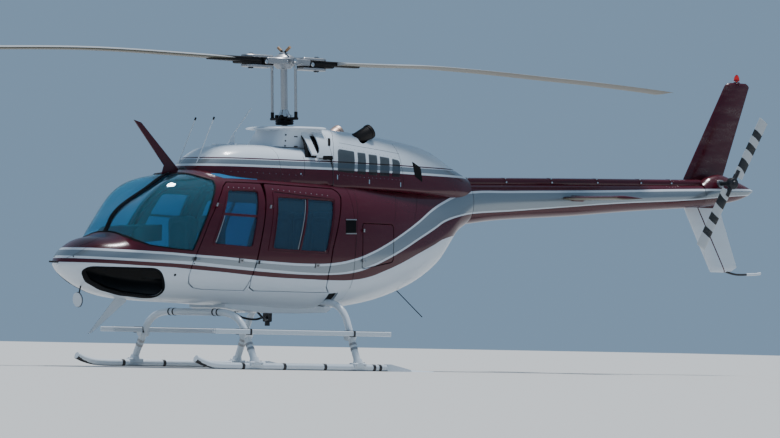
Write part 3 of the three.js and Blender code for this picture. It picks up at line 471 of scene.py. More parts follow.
class Pile:
    """Surfaces of one piece, gathered as arrays before they become one mesh."""

    def __init__(self):
        self.points = []
        self.faces = []
        self.count = 0

    def add(self, points, *groups):
        """Each group is (faces, material number, normals of the points or None)."""
        points = np.asarray(points, float)
        for faces, surface, normals in groups:
            faces = np.asarray(faces)
            if len(faces):
                own = None if normals is None else normals[faces]
                self.faces.append((faces + self.count, surface, own))
        self.points.append(points)
        self.count += len(points)

    def take(self, other, flip=False):
        """Adds the surfaces of another pile, on the other side of the centreline if flipped."""
        scale = np.array([1.0, -1.0, 1.0]) if flip else np.ones(3)
        for faces, surface, own in list(other.faces):
            if flip:
                faces = faces[:, ::-1]
                own = None if own is None else own[:, ::-1] * scale
            self.faces.append((faces + self.count, surface, own))
        self.points += [p * scale for p in other.points]
        self.count += other.count

    def mirror(self):
        """Adds the same surfaces again on the other side of the centreline."""
        self.take(self, flip=True)

    def finish(self, name, body, slot, materials, stands_for=(), sharp=35.0, side=1, weld=False):
        """Turns the pile into an object that rides on body and stands for the CAD nodes named.

        Materials are the names of the finishes, in the order of the pile's material numbers.
        """
        points = np.concatenate(self.points) * (1.0, side, 1.0) + (MAST_X, 0.0, 0.0)
        merged = np.arange(len(points))
        if weld:
            _, first, merged = np.unique(np.round(points, 5), axis=0, return_index=True, return_inverse=True)
            points = points[first]
            merged = merged.reshape(-1)
        faces = []
        surface = []
        normals = []
        for group, number, own in self.faces:
            if side < 0:
                group = group[:, ::-1]
                own = None if own is None else own[:, ::-1] * (1.0, -1.0, 1.0)
            faces += merged[group].tolist()
            surface.append(np.full(len(group), number))
            normals.append(np.zeros((group.size, 3)) if own is None else own.reshape(-1, 3))
        mesh = bpy.data.meshes.new(name)
        mesh.from_pydata(points, [], faces)
        mesh.polygons.foreach_set("material_index", np.concatenate(surface))
        mesh.polygons.foreach_set("use_smooth", np.ones(len(faces), bool))
        mesh.update()
        mesh.set_sharp_from_angle(angle=math.radians(sharp))
        normals = np.concatenate(normals)
        if np.any(normals):
            mesh.normals_split_custom_set(normals.tolist())
        for material in materials:
            mesh.materials.append(MATERIALS[material])
        piece = bpy.data.objects.new(name, mesh)
        bpy.context.scene.collection.objects.link(piece)
        if stands_for:
            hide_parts(*stands_for)
        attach(piece, body)
        return piece


def grid_faces(rows, columns, closed=False):
    """Quads of a grid of points, row by row; closed joins the last column to the first."""
    number = np.arange(rows * columns).reshape(rows, columns)
    across = np.roll(number, -1, axis=1) if closed else number[:, 1:]
    here = number if closed else number[:, :-1]
    quads = np.stack([here[:-1], across[:-1], across[1:], here[1:]], -1)
    return quads.reshape(-1, 4)


def fan(centre, ring):
    """Triangles from one point to a closed ring of points."""
    ring = np.asarray(ring)
    return np.stack([np.full(len(ring), centre), ring, np.roll(ring, -1)], -1)


def frames(path):
    """Two unit cross directions along a path, carried on without twist."""
    path = np.asarray(path, float)
    tangent = unit(np.gradient(path, axis=0))
    start = np.array([0.0, 0.0, 1.0]) if abs(tangent[0][2]) < 0.9 else np.array([1.0, 0.0, 0.0])
    normals = [unit(np.cross(np.cross(tangent[0], start), tangent[0]))]
    for t in tangent[1:]:
        last = normals[-1]
        normals.append(unit(last - t * np.dot(last, t)))
    normal = np.array(normals)
    return normal, np.cross(tangent, normal)


def tube(pile, path, radius, sides=16, surface=0, bore=None, lining=0):
    """A round bar along a path, p + r (n cos a + b sin a), or a pipe open at both ends if it has a bore."""
    path = np.asarray(path, float)
    normal, cross = frames(path)
    radius = np.broadcast_to(radius, (len(path),))
    a = np.linspace(0, 2 * np.pi, sides, endpoint=False)
    spoke = normal[:, None] * np.cos(a)[None, :, None] + cross[:, None] * np.sin(a)[None, :, None]
    outer = path[:, None] + spoke * radius[:, None, None]
    if bore is None:
        rings(pile, outer, surface, outward=-1)
        return
    rows = len(path)
    skin = grid_faces(rows, sides, closed=True)
    inner = path[:, None] + spoke * np.broadcast_to(bore, (rows,))[:, None, None]
    points = np.concatenate([outer.reshape(-1, 3), inner.reshape(-1, 3)])
    shift = rows * sides
    first = np.arange(sides)
    last = first + (rows - 1) * sides
    rims = []
    for ring, outward in ((first, False), (last, True)):
        quads = np.stack([ring, np.roll(ring, -1), np.roll(ring, -1) + shift, ring + shift], -1)
        rims.append(quads if outward else quads[:, ::-1])
    faces = np.concatenate([skin[:, ::-1], np.concatenate(rims)[:, ::-1]])
    pile.add(points, (faces, surface, None), (skin + shift, lining, None))


def lathe(pile, profile, base, axis, sides=32, surface=0):
    """A profile of radius and height turned about an axis; radius 0 at both ends closes it."""
    profile = np.asarray(profile, float)
    w = unit(axis)
    u = unit(np.cross(w, (0.0, 1.0, 0.0) if abs(w[1]) < 0.9 else (1.0, 0.0, 0.0)))
    v = np.cross(w, u)
    a = np.linspace(0, 2 * np.pi, sides, endpoint=False)
    spoke = u * np.cos(a)[:, None] + v * np.sin(a)[:, None]
    base = np.asarray(base, float)
    ring = profile[1:-1]
    body = base + ring[:, None, :1] * spoke[None] + ring[:, None, 1:] * w
    rings(pile, body, surface, ends=base + profile[[0, -1], 1:] * w)


def disc(pile, centre, axis, radius, height, bevel=0.002, sides=20, surface=0):
    """A short round boss with a bevelled face, standing on centre."""
    profile = [(0, 0), (radius, 0), (radius, height - bevel), (radius - bevel, height), (0, height)]
    lathe(pile, profile, centre, axis, sides, surface)


def prism(pile, outline, low, high, bevel=0.003, axis=1, surface=0):
    """A flat outline carried along one axis from low to high, with a bevel round both faces."""
    ring = np.asarray(outline, float)
    if signed_area(ring) < 0:
        ring = ring[::-1]
    inner = grown(ring, -bevel)
    layers = ((inner, low), (ring, low + bevel), (ring, high - bevel), (inner, high))
    points = []
    for shape, place in layers:
        layer = np.insert(shape, axis, place, axis=1)
        points.append(layer)
    n = len(ring)
    skin = grid_faces(4, n, closed=True)
    if axis == 1:
        skin = skin[:, ::-1]
    pile.add(np.concatenate(points), (skin, surface, None))
    start = pile.count - 4 * n
    near = np.arange(n)[None]
    far = near[:, ::-1] + 3 * n
    ends = np.concatenate([near, far]) if axis == 1 else np.concatenate([near[:, ::-1], far[:, ::-1]])
    pile.faces.append((ends + start, surface, None))


def block(pile, low, high, bevel=0.004, surface=0, corner=0.0):
    """A box with bevelled edges between two opposite corners."""
    (x0, y0, z0), (x1, y1, z1) = np.minimum(low, high), np.maximum(low, high)
    outline = np.array([(x0, y0), (x1, y0), (x1, y1), (x0, y1)])
    if corner:
        outline = rounded(outline, corner)
    prism(pile, outline, z0, z1, bevel, axis=2, surface=surface)


def rings(pile, points, surface=0, outward=1, ends=None):
    """Closed rings of points, row by row, capped at both ends; surface is one number, or one for each column.

    Outward is -1 where the rings run the other way round. The caps meet in the two ends given, or else in the
    middles of the outer rings.
    """
    rows, sides = points.shape[:2]
    skin = points.reshape(-1, 3)
    if ends is None:
        ends = points[[0, -1]].mean(axis=1)
    first = np.arange(sides)
    last = first + (rows - 1) * sides
    faces = grid_faces(rows, sides, closed=True)
    caps = np.concatenate([fan(rows * sides, first[::-1]), fan(rows * sides + 1, last)])
    if outward < 0:
        faces, caps = faces[:, ::-1], caps[:, ::-1]
    number = np.tile(np.broadcast_to(surface, sides), rows - 1)
    groups = [(faces[number == k], int(k), None) for k in np.unique(number)]
    pile.add(np.concatenate([skin, ends]), *groups, (caps, int(number[0]), None))


CHUNK = 4000


def inside(points, loops):
    """Which points lie inside an odd number of the closed loops."""
    odd = np.zeros(len(points), bool)
    for loop in loops:
        a = loop
        b = np.roll(loop, -1, axis=0)
        for start in range(0, len(points), CHUNK):
            p = points[start:start + CHUNK]
            above = (a[None, :, 1] > p[:, None, 1]) != (b[None, :, 1] > p[:, None, 1])
            rise = np.where(b[:, 1] == a[:, 1], 1.0, b[:, 1] - a[:, 1])
            crossing = a[:, 0] + (p[:, None, 1] - a[None, :, 1]) * ((b[:, 0] - a[:, 0]) / rise)[None]
            odd[start:start + CHUNK] ^= (np.sum(above & (crossing > p[:, None, 0]), axis=1) % 2).astype(bool)
    return odd


def shrunk(loop, distance, fixed):
    """The loop moved to its left by distance; fixed points stay on the centreline and only slide along it."""
    edge = np.roll(loop, -1, axis=0) - loop
    left = np.stack([-edge[:, 1], edge[:, 0]], -1) / np.linalg.norm(edge, axis=1)[:, None]
    before = np.roll(left, 1, axis=0)
    bisector = before + left
    bisector /= np.maximum(np.sum(bisector**2, axis=1, keepdims=True) / 2, 0.35)
    moved = loop + bisector * distance
    along = fixed & np.roll(fixed, -1)
    both = along & np.roll(along, 1)
    only = np.where(along[:, None], before, left)
    ends = loop + only * distance
    moved = np.where(fixed[:, None], ends, moved)
    moved[both] = loop[both]
    moved[fixed, 1] = loop[fixed, 1]
    return moved


def triangulated(loops, low, high, step):
    """Places and triangles of the flat region inside the first closed loop and outside the others.

    The loops' own places come first, then a grid of pitch step between low and high, clear of the loops. The
    third value is the number of each loop place's next one.
    """
    xs = np.arange(low[0] + step / 2, high[0], step)
    ss = np.arange(low[1] + step / 2, high[1], step)
    inner = np.stack(np.meshgrid(xs, ss, indexing="ij"), -1).reshape(-1, 2)
    inner = inner[inside(inner, loops)]
    border = np.concatenate(loops)
    clear = np.ones(len(inner), bool)
    for start in range(0, len(inner), CHUNK):
        gap = np.linalg.norm(inner[start:start + CHUNK, None] - border[None], axis=2).min(axis=1)
        clear[start:start + CHUNK] = gap > 0.6 * step
    flat = np.concatenate([border, inner[clear]])
    edges = []
    first = 0
    for loop in loops:
        n = np.arange(len(loop))
        edges.append(np.stack([n, np.roll(n, -1)], -1) + first)
        first += len(loop)
    edges = np.concatenate(edges)
    made = delaunay_2d_cdt([Vector(p) for p in flat], edges.tolist(), [], 0, 1e-7)
    source = np.array([ids[0] if ids else -1 for ids in made[3]])
    tris = source[np.array(made[2])]
    if len(tris) == 0 or tris.min() < 0:
        raise RuntimeError("an outline crosses itself")
    return flat, tris[inside(flat[tris].mean(axis=1), loops)], edges[:, 1]


def patch(pile, form, outline, holes=(), inset=0.0, wall=0.02, step=0.03, chamfer=CHAMFER, whole=False,
          surfaces=(0, 0, 0)):
    """A sheet of the form inside an outline of x and arc position, less its holes, with a chamfered rim.

    The sheet is a triangulated set of (x, s) places; its outer and inner faces are form.point at two insets.
    Whole leaves the centreline open, for the mirrored half. Surfaces number the skin, the rim and the lining.
    """
    loops = [np.asarray(outline, float)] + [np.asarray(h, float) for h in holes]
    loops = [loop if (signed_area(loop) > 0) == (i == 0) else loop[::-1] for i, loop in enumerate(loops)]
    near = 1e-6
    fixed = [whole & ((loop[:, 1] < near) | (loop[:, 1] > form.girth - near)) for loop in loops]
    narrow = [shrunk(loop, chamfer, f) for loop, f in zip(loops, fixed)]
    flat, tris, ahead = triangulated(narrow, loops[0].min(axis=0), loops[0].max(axis=0), step)
    count = len(flat)
    true = np.concatenate(loops)
    ring = np.arange(len(true))
    centre = np.concatenate(fixed)
    flat_at = (flat[:, 0], form.turn(flat[:, 1]))
    true_at = (true[:, 0], form.turn(true[:, 1]))
    points = np.concatenate([
        form.point(*flat_at, inset), form.point(*true_at, inset + chamfer),
        form.point(*true_at, inset + wall - chamfer), form.point(*flat_at, inset + wall)])
    normal = form.normal_at(*flat_at)
    normals = np.zeros_like(points)
    normals[:count] = normal
    normals[-count:] = -normal
    second = count
    third = count + len(true)
    fourth = third + len(true)
    open_edge = ~(centre & centre[ahead])
    rim = []
    for a, b in ((0, second), (second, third), (third, fourth)):
        quads = np.stack([ring + a, ahead + a, ahead + b, ring + b], -1)
        rim.append(quads[open_edge])
    rim = np.concatenate(rim)
    skin = tris[:, ::-1]
    lining = tris + fourth
    off_line = np.zeros(count - len(true), bool)
    on_line = np.concatenate([centre, off_line, centre, centre, centre, off_line])
    points[on_line, 1] = 0.0
    normals[on_line, 1] = 0.0
    pile.add(points, (skin, surfaces[0], normals), (lining, surfaces[2], normals), (rim, surfaces[1], None))


def ribbon(pile, form, line, width, height=0.0008, surface=0, pitch=0.03):
    """A low bar laid on the form along a line of x and z: a trapezium of four points carried along it."""
    p = divided(line, pitch, closed=False)
    middle = form.side(p[:, 0], p[:, 1])
    up = form.normal(middle)
    across = unit(np.cross(up, unit(np.gradient(middle, axis=0)))) * width / 2
    sink = -0.0008
    section = ((-1, sink), (1, sink), (0.7, height), (-0.7, height))
    ring = [middle + across * a + up * b for a, b in section]
    rings(pile, np.stack(ring, 1), surface)


def overlay(pile, form, ring, proud, depth=0.003, surface=0):
    """A thin plate of the form's own curve inside a side outline of x and z."""
    patch(pile, form, trace(form, ring), inset=-proud, wall=depth, step=0.04, chamfer=depth / 5,
          surfaces=(surface,) * 3)


def band(pile, form, outline, outer, inner, proud, depth=0.003, radius=0.03, surface=0):
    """A closed frame on the form: the outline grown by outer, less the outline grown by inner."""
    hole = trace(form, rounded(grown(outline, inner), radius + inner))
    patch(pile, form, trace(form, rounded(grown(outline, outer), radius + outer)), [hole], inset=-proud,
          wall=depth, step=0.05, chamfer=depth / 5, surfaces=(surface,) * 3)


def bar(pile, form, start, end, half, inset, depth, surface=0):
    """A straight strip between two places of x and z, set into the form."""
    a, b = np.array(start), np.array(end)
    across = np.array([a[1] - b[1], b[0] - a[0]]) / np.linalg.norm(b - a) * half
    overlay(pile, form, [a - across, b - across, b + across, a + across], -inset, depth, surface)


def plate(pile, centre, normal, along, size, surface=0, bevel=0.0015):
    """A low bevelled block standing on a surface: rectangles of corners, the last one drawn in."""
    w = unit(normal)
    u = unit(np.asarray(along, float) - w * np.dot(along, w))
    length, width, height = size
    corners = np.array([(-1, -1), (1, -1), (1, 1), (-1, 1)]) / 2
    rows = []
    for shrink, rise in ((0, -0.001), (0, height - bevel), (bevel, height)):
        half = corners * (length - 2 * shrink, width - 2 * shrink)
        rows.append(centre + half[:, :1] * u + half[:, 1:] * np.cross(w, u) + w * rise)
    rings(pile, np.array(rows), surface)


def on_side(form, x, z):
    """The form's port place at x and z, with its outward normal."""
    p = form.side(x, z)
    return p, form.normal(p)


def rods(name, body, table, sides=12):
    """Round bars from a table of finish, path and radius: one piece for each finish."""
    piles = {}
    for material, points, radius in table:
        tube(piles.setdefault(material, Pile()), points, radius, sides)
    for material, pile in piles.items():
        pile.finish(f"{name}_{material}", body, "grey_metal", (material,))


def studs(pile, centres, normals, radius, height, surface=0, sides=6):
    """Low round heads: a ring and a crown point on each centre."""
    centres = np.asarray(centres, float)
    normals = unit(normals)
    side = unit(np.cross(normals, (0.31, 0.17, 0.94)))
    other = np.cross(normals, side)
    a = np.linspace(0, 2 * np.pi, sides, endpoint=False)
    spoke = side[:, None] * np.cos(a)[None, :, None] + other[:, None] * np.sin(a)[None, :, None]
    foot = centres[:, None] + spoke * radius - normals[:, None] * 0.0005
    brow = centres[:, None] + spoke * radius * 0.7 + normals[:, None] * height * 0.8
    crown = (centres + normals * height)[:, None]
    points = np.concatenate([foot, brow, crown], axis=1)
    n = np.arange(sides)
    ahead = np.roll(n, -1)
    quads = np.stack([n, ahead, ahead + sides, n + sides], -1)
    tops = np.stack([n + sides, ahead + sides, np.full(sides, 2 * sides)], -1)
    shift = (np.arange(len(centres)) * (2 * sides + 1))[:, None, None]
    pile.add(points.reshape(-1, 3), ((quads[None] + shift).reshape(-1, 4), surface, None),
             ((tops[None] + shift).reshape(-1, 3), surface, None))


def stud_line(pile, form, line, pitch, radius=0.0035, height=0.0016, surface=0):
    """A row of studs on the form along a line of x and z."""
    p = divided(line, pitch, closed=False)
    centre = form.side(p[:, 0], p[:, 1])
    studs(pile, centre, form.normal(centre), radius, height, surface)


def foot(form, ground, x):
    """The angle at which the form's section meets the ground form at each x."""
    a = form.arc_a
    ring = form.point(np.asarray(x, float)[:, None], a[None])
    buried = ground.level(ring) < 1
    last = np.where(buried.any(axis=1), SECTION_ANGLES - 1 - np.argmax(buried[:, ::-1], axis=1), 0)
    return a[np.minimum(last, SECTION_ANGLES - 2)]


def seated(form, ground, x_rear, x_front, pitch=0.03, sink=0.004):
    """Outline of a cowl from its foot on the ground form up to the centreline."""
    x = np.linspace(x_rear, x_front, max(2, round((x_front - x_rear) / pitch)) + 1)
    s = np.maximum(form.arc(foot(form, ground, x)) - sink, 0.0)
    lower = np.stack([x, s], -1)
    over = [lower[-1], (x_front, form.girth), (x_rear, form.girth), lower[0]]
    return np.concatenate([lower, divided(over, pitch, closed=False)[1:-1]])


# Shader nodes

def settle(tree, node, values):
    """Fills the node's sockets: values maps a socket's name or number to a value or to a socket to link."""
    for key, value in values.items():
        if isinstance(value, bpy.types.NodeSocket):
            tree.links.new(value, node.inputs[key])
        else:
            node.inputs[key].default_value = value


def add_node(tree, kind, values=None, **settings):
    """A node with its settings and its sockets filled."""
    node = tree.nodes.new(kind)
    for key, value in settings.items():
        setattr(node, key, value)
    settle(tree, node, values or {})
    return node


def math_node(tree, operation, a, b=0.0, clamp=False):
    return add_node(tree, "ShaderNodeMath", {0: a, 1: b}, operation=operation, use_clamp=clamp).outputs[0]


def blend_colour(tree, factor, a, b):
    node = add_node(tree, "ShaderNodeMix", {"Factor": factor, 6: a, 7: b}, data_type="RGBA")
    return node.outputs[2]


def noise(tree, vector, scale, detail, **more):
    values = {"Vector": vector, "Scale": scale, "Detail": detail, **more}
    return add_node(tree, "ShaderNodeTexNoise", values).outputs[0]


def bumped(tree, height, distance, strength):
    values = {"Height": height, "Distance": distance, "Strength": strength}
    return add_node(tree, "ShaderNodeBump", values).outputs[0]


def stretch(tree, value, low, high, to_low=0.0, to_high=1.0):
    return add_node(tree, "ShaderNodeMapRange", {"Value": value, "From Min": low, "From Max": high,
                                                 "To Min": to_low, "To Max": to_high}).outputs[0]


def new_group(name, inputs, outputs):
    group = bpy.data.node_groups.new(name, "ShaderNodeTree")
    for socket, kind, default in inputs:
        made = group.interface.new_socket(socket, in_out="INPUT", socket_type=kind)
        if default is not None:
            made.default_value = default
    for socket, kind in outputs:
        group.interface.new_socket(socket, in_out="OUTPUT", socket_type=kind)
    return group, group.nodes.new("NodeGroupInput"), group.nodes.new("NodeGroupOutput")


def mask_group(name):
    """A group that gives masks for maroon and silver, with the x and z of the surface's place."""
    masks = [("Maroon", "NodeSocketFloat"), ("Silver", "NodeSocketFloat")]
    group, _, out = new_group(name, [], masks)
    split = add_node(group, "ShaderNodeSeparateXYZ", {0: place(group)})
    return group, out, split.outputs[0], split.outputs[2]


def place(tree):
    """Mast-frame places of the surface, from the object's own coordinates."""
    coordinates = add_node(tree, "ShaderNodeTexCoord").outputs["Object"]
    return add_node(tree, "ShaderNodeMapping", {"Vector": coordinates,
                                                "Location": (-MAST_X, 0.0, 0.0)}).outputs[0]


def height_curve(tree, x, column):
    """Height of one paint line at x, from the livery table through a float curve."""
    node = add_node(tree, "ShaderNodeFloatCurve", {"Value": stretch(tree, x, *LIVERY_X)})
    points = node.mapping.curves[0].points
    rows = [((row[0] - LIVERY_X[0]) / (LIVERY_X[1] - LIVERY_X[0]),
             row[column] / PAINT_CURVE_TOP) for row in LIVERY]
    points[0].location = (0.0, rows[0][1])
    points[1].location = (1.0, rows[-1][1])
    for row in rows:
        points.new(*row)
    node.mapping.update()
    return math_node(tree, "MULTIPLY", node.outputs[0], PAINT_CURVE_TOP)


def step_up(tree, z, line, edge=0.0012):
    difference = math_node(tree, "SUBTRACT", z, line)
    return stretch(tree, difference, -edge, edge)


def livery_group():
    """Masks of the hull's paint: maroon, a silver band between white lines, a maroon stripe, white below."""
    group, out, x, z = mask_group("fuselage livery")
    edge = height_curve(group, x, 1)
    foot_line = height_curve(group, x, 2)
    stripe_top = height_curve(group, x, 3)
    stripe_foot = height_curve(group, x, 4)
    upper = step_up(group, z, edge)
    silver_low = step_up(group, z, foot_line)
    silver_high = step_up(group, z, math_node(group, "SUBTRACT", edge, WHITE_LINE))
    stripe = math_node(group, "SUBTRACT", step_up(group, z, stripe_foot), step_up(group, z, stripe_top))
    under = math_node(group, "MULTIPLY", math_node(group, "LESS_THAN", x, UNDER_BOOM_X),
                      math_node(group, "SUBTRACT", 1.0, step_up(group, z, stripe_top)))
    stripe = math_node(group, "MAXIMUM", stripe, under)
    group.links.new(math_node(group, "MAXIMUM", upper, stripe), out.inputs["Maroon"])
    group.links.new(math_node(group, "SUBTRACT", silver_low, silver_high), out.inputs["Silver"])


def cowl_group():
    """Masks of the cowl paint: white, a maroon pinstripe, a silver band, a white line, maroon at the foot."""
    group, out, x, z = mask_group("cowl livery")
    away = math_node(group, "ABSOLUTE", math_node(group, "SUBTRACT", x, COWL_LINES_TOP_X))
    drop = math_node(group, "MULTIPLY", away, COWL_LINES_FALL)
    level = math_node(group, "ADD", z, drop)
    low = math_node(group, "SUBTRACT", 1.0, step_up(group, level, COWL_MAROON_Z))
    pin = math_node(group, "SUBTRACT", step_up(group, level, COWL_PINSTRIPE_Z - PINSTRIPE_HALF),
                    step_up(group, level, COWL_PINSTRIPE_Z + PINSTRIPE_HALF))
    group.links.new(math_node(group, "MAXIMUM", low, pin), out.inputs["Maroon"])
    silver = math_node(group, "SUBTRACT", step_up(group, level, COWL_SILVER_Z[0]),
                       step_up(group, level, COWL_SILVER_Z[1]))
    group.links.new(silver, out.inputs["Silver"])


def weather_group():
    """Dust, faint streaks and fine waves of a painted metal skin, as masks and a height."""
    asked = [("Scale", "NodeSocketFloat", 1.0), ("Dust", "NodeSocketFloat", 0.2)]
    given = [(key, "NodeSocketFloat") for key in ("Dust", "Grain", "Height")]
    group, source, out = new_group("weathered skin", asked, given)
    position = place(group)
    grain_scale = math_node(group, "MULTIPLY", source.outputs["Scale"], 60.0)
    long = add_node(group, "ShaderNodeMapping", {"Vector": position, "Scale": (1.0, 1.0, 4.0)}).outputs[0]
    streak = noise(group, long, 3.1, 5.0)
    fine = noise(group, position, grain_scale, 4.0, Roughness=0.65)
    wave = noise(group, position, 2.3, 1.0)
    patchy = math_node(group, "MULTIPLY", stretch(group, streak, 0.45, 0.75), stretch(group, fine, 0.35, 0.7))
    group.links.new(math_node(group, "MULTIPLY", patchy, source.outputs["Dust"]), out.inputs["Dust"])
    group.links.new(fine, out.inputs["Grain"])
    height = math_node(group, "ADD", wave, math_node(group, "MULTIPLY", fine, 0.012))
    group.links.new(height, out.inputs["Height"])


def fin_group():
    """Masks of the fin: maroon above the boom, white below with one thin maroon line down it."""
    group, out, x, z = mask_group("fin livery")
    upper = step_up(group, z, FIN_PAINT_Z)
    slope = math_node(group, "MULTIPLY", math_node(group, "SUBTRACT", z, FIN_PAINT_Z), FIN_LINE_LEAN)
    middle = math_node(group, "ADD", slope, FIN_LINE_X)
    off = math_node(group, "ABSOLUTE", math_node(group, "SUBTRACT", x, middle))
    line = math_node(group, "LESS_THAN", off, FIN_LINE_HALF)
    group.links.new(math_node(group, "MAXIMUM", upper, line), out.inputs["Maroon"])


TAIL_RADIUS = 0.825
TAIL_BANDS = (0.48, 0.67, 0.85)
TAIL_BAND_HALF = 0.036


def blade_group():
    """Masks of the tail blades: three dark bands at fixed fractions of the radius."""
    group, out, _, _ = mask_group("tail blade bands")
    centred = add_node(group, "ShaderNodeMapping", {"Vector": place(group), "Location": tuple(-TAIL_HUB),
                                                    "Scale": (1.0, 0.0, 1.0)}).outputs[0]
    radius = add_node(group, "ShaderNodeVectorMath", {0: centred}, operation="LENGTH").outputs["Value"]
    bands = 0.0
    for fraction in TAIL_BANDS:
        off = math_node(group, "ABSOLUTE", math_node(group, "SUBTRACT", radius, fraction * TAIL_RADIUS))
        band = math_node(group, "LESS_THAN", off, TAIL_BAND_HALF)
        bands = band if bands == 0.0 else math_node(group, "MAXIMUM", bands, band)
    group.links.new(bands, out.inputs["Maroon"])


def size(name):
    return getattr(bpy.context.scene.helicopter_sizes, name)


def colour(settings, name):
    return tuple(getattr(settings, name)) + (1.0,)


def new_material(name):
    material = bpy.data.materials.new(name)
    material.use_nodes = True
    tree = material.node_tree
    return material, tree, tree.nodes["Principled BSDF"]


def weathered(tree, dust, scale=1.0):
    """The outputs of the weathered skin: dust, grain and height."""
    skin = bpy.data.node_groups["weathered skin"]
    return add_node(tree, "ShaderNodeGroup", {"Scale": scale, "Dust": dust}, node_tree=skin).outputs


def shade(base, factor):
    return tuple(factor * c for c in base[:3]) + (1.0,)


def painted(name, colours, pattern=None, dust=0.25, gloss=0.22, silver_metal=0.55):
    """Aircraft paint: the livery's masks choose the colour, dust and grain vary it, a thin coat covers it."""
    material, tree, shader = new_material(name)
    weather = weathered(tree, dust)
    base, maroon, silver = colours
    if pattern:
        masks = add_node(tree, "ShaderNodeGroup", node_tree=bpy.data.node_groups[pattern]).outputs
        mix = blend_colour(tree, masks["Silver"], base, silver)
        mix = blend_colour(tree, masks["Maroon"], mix, maroon)
        metal_mask = math_node(tree, "MULTIPLY", masks["Silver"], silver_metal)
        settle(tree, shader, {"Metallic": metal_mask})
    else:
        mix = blend_colour(tree, weather["Grain"], base, shade(base, 0.93))
    rough = math_node(tree, "MULTIPLY_ADD", weather["Dust"], 0.6)
    settle(tree, rough.node, {2: gloss})
    settle(tree, shader, {
        "Base Color": blend_colour(tree, weather["Dust"], mix, (0.42, 0.38, 0.32, 1.0)),
        "Roughness": rough, "Normal": bumped(tree, weather["Height"], 0.004, 0.25),
        "Specular IOR Level": 0.35, "Coat Weight": 0.2, "Coat Roughness": 0.06})
    return material


def metal(name, base, rough=0.35, metallic=0.9, bump_height=0.0006, dust=0.2):
    """Bare or satin metal with handling marks."""
    material, tree, shader = new_material(name)
    weather = weathered(tree, dust)
    mix = blend_colour(tree, weather["Grain"], shade(base, 1.0), shade(base, 0.72))
    settle(tree, shader, {
        "Base Color": blend_colour(tree, weather["Dust"], mix, (0.30, 0.26, 0.21, 1.0)),
        "Roughness": stretch(tree, weather["Grain"], 0.3, 0.7, rough * 0.8, min(1.0, rough * 1.3)),
        "Metallic": metallic, "Normal": bumped(tree, weather["Grain"], bump_height, 0.4)})
    return material


def glazing(name, tint, dust=0.5, ior=1.45):
    """Tinted acrylic: see-through, with faint dust in its roughness."""
    material, tree, shader = new_material(name)
    weather = weathered(tree, dust)
    dusty = tuple(0.85 * c + 0.01 for c in tint[:3]) + (1.0,)
    settle(tree, shader, {
        "Base Color": blend_colour(tree, weather["Dust"], tint, dusty),
        "Roughness": stretch(tree, weather["Grain"], 0.3, 0.8, 0.02, 0.06),
        "Transmission Weight": 0.92, "IOR": ior})
    return material


def plastic(name, base, rough=0.6, height=0.0008, dust=0.15, shine=0.5):
    """Rubber or moulded plastic with a fine grain."""
    material, tree, shader = new_material(name)
    weather = weathered(tree, dust, scale=3.0)
    mix = blend_colour(tree, weather["Grain"], shade(base, 1.0), shade(base, 0.6))
    settle(tree, shader, {
        "Base Color": blend_colour(tree, weather["Dust"], mix, (0.25, 0.23, 0.2, 1.0)),
        "Roughness": rough, "Specular IOR Level": shine,
        "Normal": bumped(tree, weather["Grain"], height, 0.5)})
    return material


def cloth(name, base, threads=190.0):
    """Woven seat cover: crossed threads as height and tone."""
    material, tree, shader = new_material(name)
    position = place(tree)
    warp, weft = (add_node(tree, "ShaderNodeTexWave", {"Vector": position, "Scale": threads},
                           bands_direction=way).outputs["Fac"] for way in ("X", "Z"))
    weave = math_node(tree, "MULTIPLY", warp, weft)
    soil = stretch(tree, noise(tree, position, 7.0, 4.0), 0.45, 0.8, 0.0, 0.35)
    mix = blend_colour(tree, weave, shade(base, 0.65), shade(base, 1.0))
    settle(tree, shader, {
        "Base Color": blend_colour(tree, soil, mix, shade(base, 0.5)),
        "Roughness": 0.9, "Sheen Weight": 0.35, "Normal": bumped(tree, weave, 0.0012, 0.7)})
    return material


MATERIALS = {}
# the cowl's white, maroon and silver in the meshes, darkened with painted shade for the dark bay behind the
# mesh's holes
MESH_SHADED_COLOURS = ((0.080, 0.100, 0.115, 1.0), (0.008, 0.001, 0.003, 1.0), (0.055, 0.085, 0.115, 1.0))


